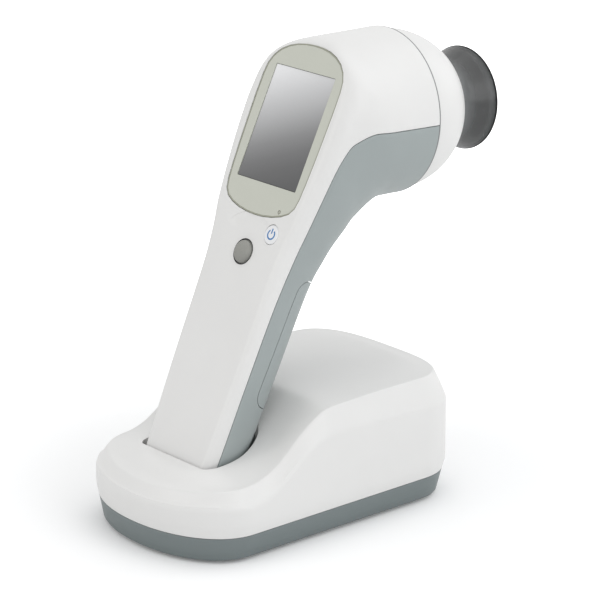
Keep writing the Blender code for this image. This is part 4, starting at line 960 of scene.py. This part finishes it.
def build_eyecup():
    """Waisted rubber cup with a dark rounded rim."""
    base = DOME_END + 2.3
    neck = CUP_NECK_R
    wide = CUP_RIM_R
    top = CUP_RIM_H
    outside = ((neck, base), (neck + 0.2, base + 1.2), (neck - 0.4, base + 3.0), (neck - 0.5, base + 5.0),
               (neck + 0.1, base + 8.0), (neck + 1.4, base + 11.6), (wide - 0.9, base + 15.2),
               (wide, top - 0.9))
    lip = ((wide, top - 0.9), (wide + 0.12, top - 0.45), (wide - 0.1, top - 0.08), (wide - 0.55, top),
           (wide - 1.0, top - 0.3), (wide - 1.25, top - 0.9))
    inside = ((wide - 1.25, top - 0.9), (wide - 2.0, base + 15.0), (neck + 0.1, base + 11.4),
              (neck - 1.2, base + 8.0),
              (neck - 1.8, base + 5.0), (neck - 1.7, base + 3.0), (neck - 1.5, base + 1.2),
              (neck - 1.4, base))
    profile = smooth_profile(outside, 4)[:-1] + smooth_profile(lip, 3)[:-1] + smooth_profile(inside, 4)
    cup = revolve("cup_rubber", profile, HEAD, CUP, 128)
    cup.data.materials.append(CUP_EDGE)
    for poly in cup.data.polygons:
        if (HEAD.inverted() @ poly.center).z > top - 1.3:
            poly.material_index = 1
    piece(cup, "eyecup", "eyecup", angle=60.0)


# --------------------------------------------------------------- dock pieces
def build_dock_top():
    """White upper shell, hollow below, with the handle's slot and the inlet's hole."""
    shell = dock_skin("dock_cover", 0.0, DOCK_SPLIT_Z + SEAM, 0.0, WHITE)
    boolean(shell, dock_skin("top_hollow", DOCK_WALL, DOCK_SPLIT_Z - 3.0, DOCK_WALL))
    sec, outline = section_outline(-112.0, -SLOT_CLEAR)
    to_slot = SLOT.inverted()
    pts = []
    for x, y in outline:
        p = to_slot @ (sec["mid"] + X_AXIS * x + sec["d"] * y)
        pts.append((p.x, p.z))
    boolean(shell, slot_body("slot_tool", pts, -1.5, 95.0))
    rear_y = STRAIGHT_Y1 + REAR_DEPTH
    backward = frame_matrix((0.0, 0.0, 0.0), X_AXIS, Vector((0, 0, 1)), Vector((0, -1, 0)))
    hole = rounded_rect(0.0, DOCK_SPLIT_Z + SEAM + 4.2, 10.6, 5.8, 1.4, 5)
    boolean(shell, prism("inlet_hole", hole, -rear_y - 4.0, -rear_y + 8.0, backward))
    piece(shell, "dock", "dock_top_shell", bevel=0.2)


def build_dock_base():
    """Grey tray with a rounded foot edge and four screw posts."""
    floor_top = DOCK_BASE_Z + 2.3
    rows = []
    for inset, z in ((1.6, DOCK_BASE_Z), (0.9, DOCK_BASE_Z + 0.12), (0.35, DOCK_BASE_Z + 0.5),
                     (0.0, DOCK_BASE_Z + 1.2), (0.0, DOCK_SPLIT_Z * 0.5), (0.0, DOCK_SPLIT_Z - SEAM - 0.25),
                     (0.2, DOCK_SPLIT_Z - SEAM), (DOCK_WALL, DOCK_SPLIT_Z - SEAM), (DOCK_WALL, floor_top)):
        share = (DOCK_BELT_Z - z) / (DOCK_BELT_Z - DOCK_BASE_Z)
        low_w = DOCK_HALF_W - (DOCK_HALF_W - DOCK_FLOOR_HALF_W) * share
        plan = plan_half(inset, low_w, NOSE_DEPTH - NOSE_TAPER * share)
        rows.append([(x, y, z) for x, y in loop_of(plan)])
    n = len(rows[0])
    last = len(rows) - 1
    faces = [list(range(n)), list(range(last * n, (last + 1) * n))]
    for k in range(last):
        faces += [[k * n + i, k * n + (i + 1) % n, (k + 1) * n + (i + 1) % n, (k + 1) * n + i]
                  for i in range(n)]
    tray = add_mesh("dock_tray", [p for row in rows for p in row], faces, BASE_GREY)
    for x, y in ((-31.0, -50.0), (31.0, -50.0), (-31.0, 44.0), (31.0, 44.0)):
        boolean(tray, prism("post", circle(x, y, 3.6, 32), floor_top - 1.0, POST_TOP, WORLD), "UNION")
        boolean(tray, prism("bore", circle(x, y, 1.7, 24), -1.0, POST_TOP + 1.0, WORLD))
        boolean(tray, prism("sink", circle(x, y, 3.1, 32), -1.0, DOCK_BASE_Z + 1.6, WORLD))
    piece(tray, "dock", "dock_base")


# ------------------------------------- CAD pieces that stay, with finishes
FINISH = {
    "grey_shell": GREY, "black_plastic": BLACK, "board_green": BOARD, "steel": STEEL, "contact_gold": GOLD,
    "cell_blue": CELL, "bowl_white": BOWL, "foot_rubber": FOOT, "light_pipe": PIPE, "screen": BLACK,
    "window": PIPE, "light_tints": PIPE, "white_shell": WHITE, "button_white": BUTTON,
}
TINTS = {"light_red": (0.6, 0.06, 0.04), "light_green": (0.05, 0.45, 0.12), "light_blue": (0.05, 0.14, 0.6),
         "light_infrared": (0.12, 0.05, 0.13)}


def finish_cad_pieces():
    """Materials and small worn edges for every node that keeps its CAD mesh."""
    for sub in frame["record"]["subparts"]:
        ob = frame["nodes"][sub["node"]]
        if ob.hide_render:
            continue
        finish = FINISH.get(sub["material_slot"], BLACK)
        if ob.name in TINTS:
            finish = moulded(ob.name + "_tint", TINTS[ob.name], 0.15, 0.05, 900.0, 0.02, 0.05, 0.5)
        ob.data.materials.clear()
        ob.data.materials.append(finish)
        weld = ob.modifiers.new("weld", "WELD")
        weld.merge_threshold = 0.000001
        edge = ob.modifiers.new("edge", "BEVEL")
        edge.width = 0.00012
        edge.segments = 2
        edge.limit_method = "ANGLE"
        edge.angle_limit = math.radians(EDGE_ANGLE_DEG)
        normals = ob.modifiers.new("normals", "WEIGHTED_NORMAL")
        normals.keep_sharp = False


# --------------------------------------------------------- floor and lights
def build_floor():
    """White floor that keeps the shadow and fades to plain white away from it."""
    me = bpy.data.meshes.new("floor")
    me.from_pydata([(-6, -6, 0), (6, -6, 0), (6, 6, 0), (-6, 6, 0)], [], [(0, 1, 2, 3)])
    floor = bpy.data.objects.new("floor", me)
    bpy.context.scene.collection.objects.link(floor)
    mat, tree_nodes, links, bsdf = new_material("floor_white")
    tree_nodes.remove(bsdf)
    matte = tree_nodes.new("ShaderNodeBsdfDiffuse")
    matte.inputs["Color"].default_value = (0.91, 0.91, 0.91, 1.0)
    distance = tree_nodes.new("ShaderNodeVectorMath")
    distance.operation = "LENGTH"
    links.new(tree_nodes.new("ShaderNodeTexCoord").outputs["Object"], distance.inputs[0])
    far = tree_nodes.new("ShaderNodeMapRange")
    far.interpolation_type = "SMOOTHSTEP"
    far.inputs["From Min"].default_value = 0.09
    far.inputs["From Max"].default_value = 0.42
    far.inputs["To Min"].default_value = 0.11
    far.inputs["To Max"].default_value = 1.0
    links.new(distance.outputs["Value"], far.inputs["Value"])
    shown = tree_nodes.new("ShaderNodeMath")
    shown.operation = "MULTIPLY"
    links.new(tree_nodes.new("ShaderNodeLightPath").outputs["Is Camera Ray"], shown.inputs[0])
    links.new(far.outputs["Result"], shown.inputs[1])
    glow = tree_nodes.new("ShaderNodeEmission")
    glow.inputs["Color"].default_value = (1.0, 1.0, 1.0, 1.0)
    links.new(shown.outputs["Value"], glow.inputs["Strength"])
    both = tree_nodes.new("ShaderNodeAddShader")
    links.new(matte.outputs["BSDF"], both.inputs[0])
    links.new(glow.outputs["Emission"], both.inputs[1])
    links.new(both.outputs["Shader"], tree_nodes["Material Output"].inputs["Surface"])
    me.materials.append(mat)


def build_world():
    """Plain white to the eye and to mirrors, a softer light to everything else."""
    world = bpy.data.worlds.new("studio")
    bpy.context.scene.world = world
    world.use_nodes = True
    tree_nodes = world.node_tree.nodes
    links = world.node_tree.links
    tree_nodes.clear()
    path = tree_nodes.new("ShaderNodeLightPath")
    seen = path.outputs["Is Camera Ray"]
    for ray in ("Is Transmission Ray", "Is Glossy Ray"):
        either = tree_nodes.new("ShaderNodeMath")
        either.operation = "MAXIMUM"
        links.new(seen, either.inputs[0])
        links.new(path.outputs[ray], either.inputs[1])
        seen = either.outputs["Value"]
    mixer = tree_nodes.new("ShaderNodeMixShader")
    links.new(seen, mixer.inputs["Fac"])
    for slot, color, strength in ((1, (0.98, 0.99, 1.0, 1.0), 0.74), (2, (1.0, 1.0, 1.0, 1.0), 1.0)):
        light = tree_nodes.new("ShaderNodeBackground")
        light.inputs["Color"].default_value = color
        light.inputs["Strength"].default_value = strength
        links.new(light.outputs["Background"], mixer.inputs[slot])
    out = tree_nodes.new("ShaderNodeOutputWorld")
    links.new(mixer.outputs["Shader"], out.inputs["Surface"])


def softbox(name, at, aim, size, power, tint):
    data = bpy.data.lights.new(name, "AREA")
    data.shape = "SQUARE"
    data.size = size
    data.energy = power
    data.color = tint
    ob = bpy.data.objects.new(name, data)
    bpy.context.scene.collection.objects.link(ob)
    ob.location = at
    ob.rotation_mode = "QUATERNION"
    ob.rotation_quaternion = (Vector(aim) - Vector(at)).to_track_quat("-Z", "Y")


def build_camera():
    """Long lens, from the front right and a little above."""
    azimuth = math.radians(49.17)
    elevation = math.radians(18.22)
    back = Vector((math.sin(azimuth) * math.cos(elevation), -math.cos(azimuth) * math.cos(elevation),
                   math.sin(elevation)))
    data = bpy.data.cameras.new("camera")
    data.lens = 179.5
    data.sensor_width = 36.0
    data.clip_start = 0.05
    data.clip_end = 50.0
    cam = bpy.data.objects.new("camera", data)
    bpy.context.scene.collection.objects.link(cam)
    cam.location = (0.9024, -0.7718 - Y_MID * MM, 0.4795)
    cam.rotation_mode = "QUATERNION"
    cam.rotation_quaternion = (-back).to_track_quat("-Z", "Y")
    bpy.context.scene.camera = cam


build_front_shell()
build_rear_shell_and_door()
build_display()
build_power_button()
build_joystick()
build_dome()
build_eyecup()
build_dock_top()
build_dock_base()
finish_cad_pieces()
build_floor()
build_world()
softbox("top_box", (0.25, 0.35, 1.5), (0.0, 0.0, 0.08), 1.9, 5.8, (1.0, 1.0, 1.0))
softbox("back_box", (0.35, 1.35, 0.75), (0.0, 0.03, 0.06), 0.9, 1.9, (0.98, 0.99, 1.0))
softbox("right_box", (1.2, 0.15, 0.65), (0.0, 0.0, 0.08), 0.9, 3.3, (0.975, 0.985, 1.0))
softbox("front_box", (-0.45, -1.3, 0.85), (0.0, 0.0, 0.12), 0.8, 2.7, (1.0, 0.972, 0.935))
build_camera()
bpy.context.scene.view_settings.view_transform = "Standard"
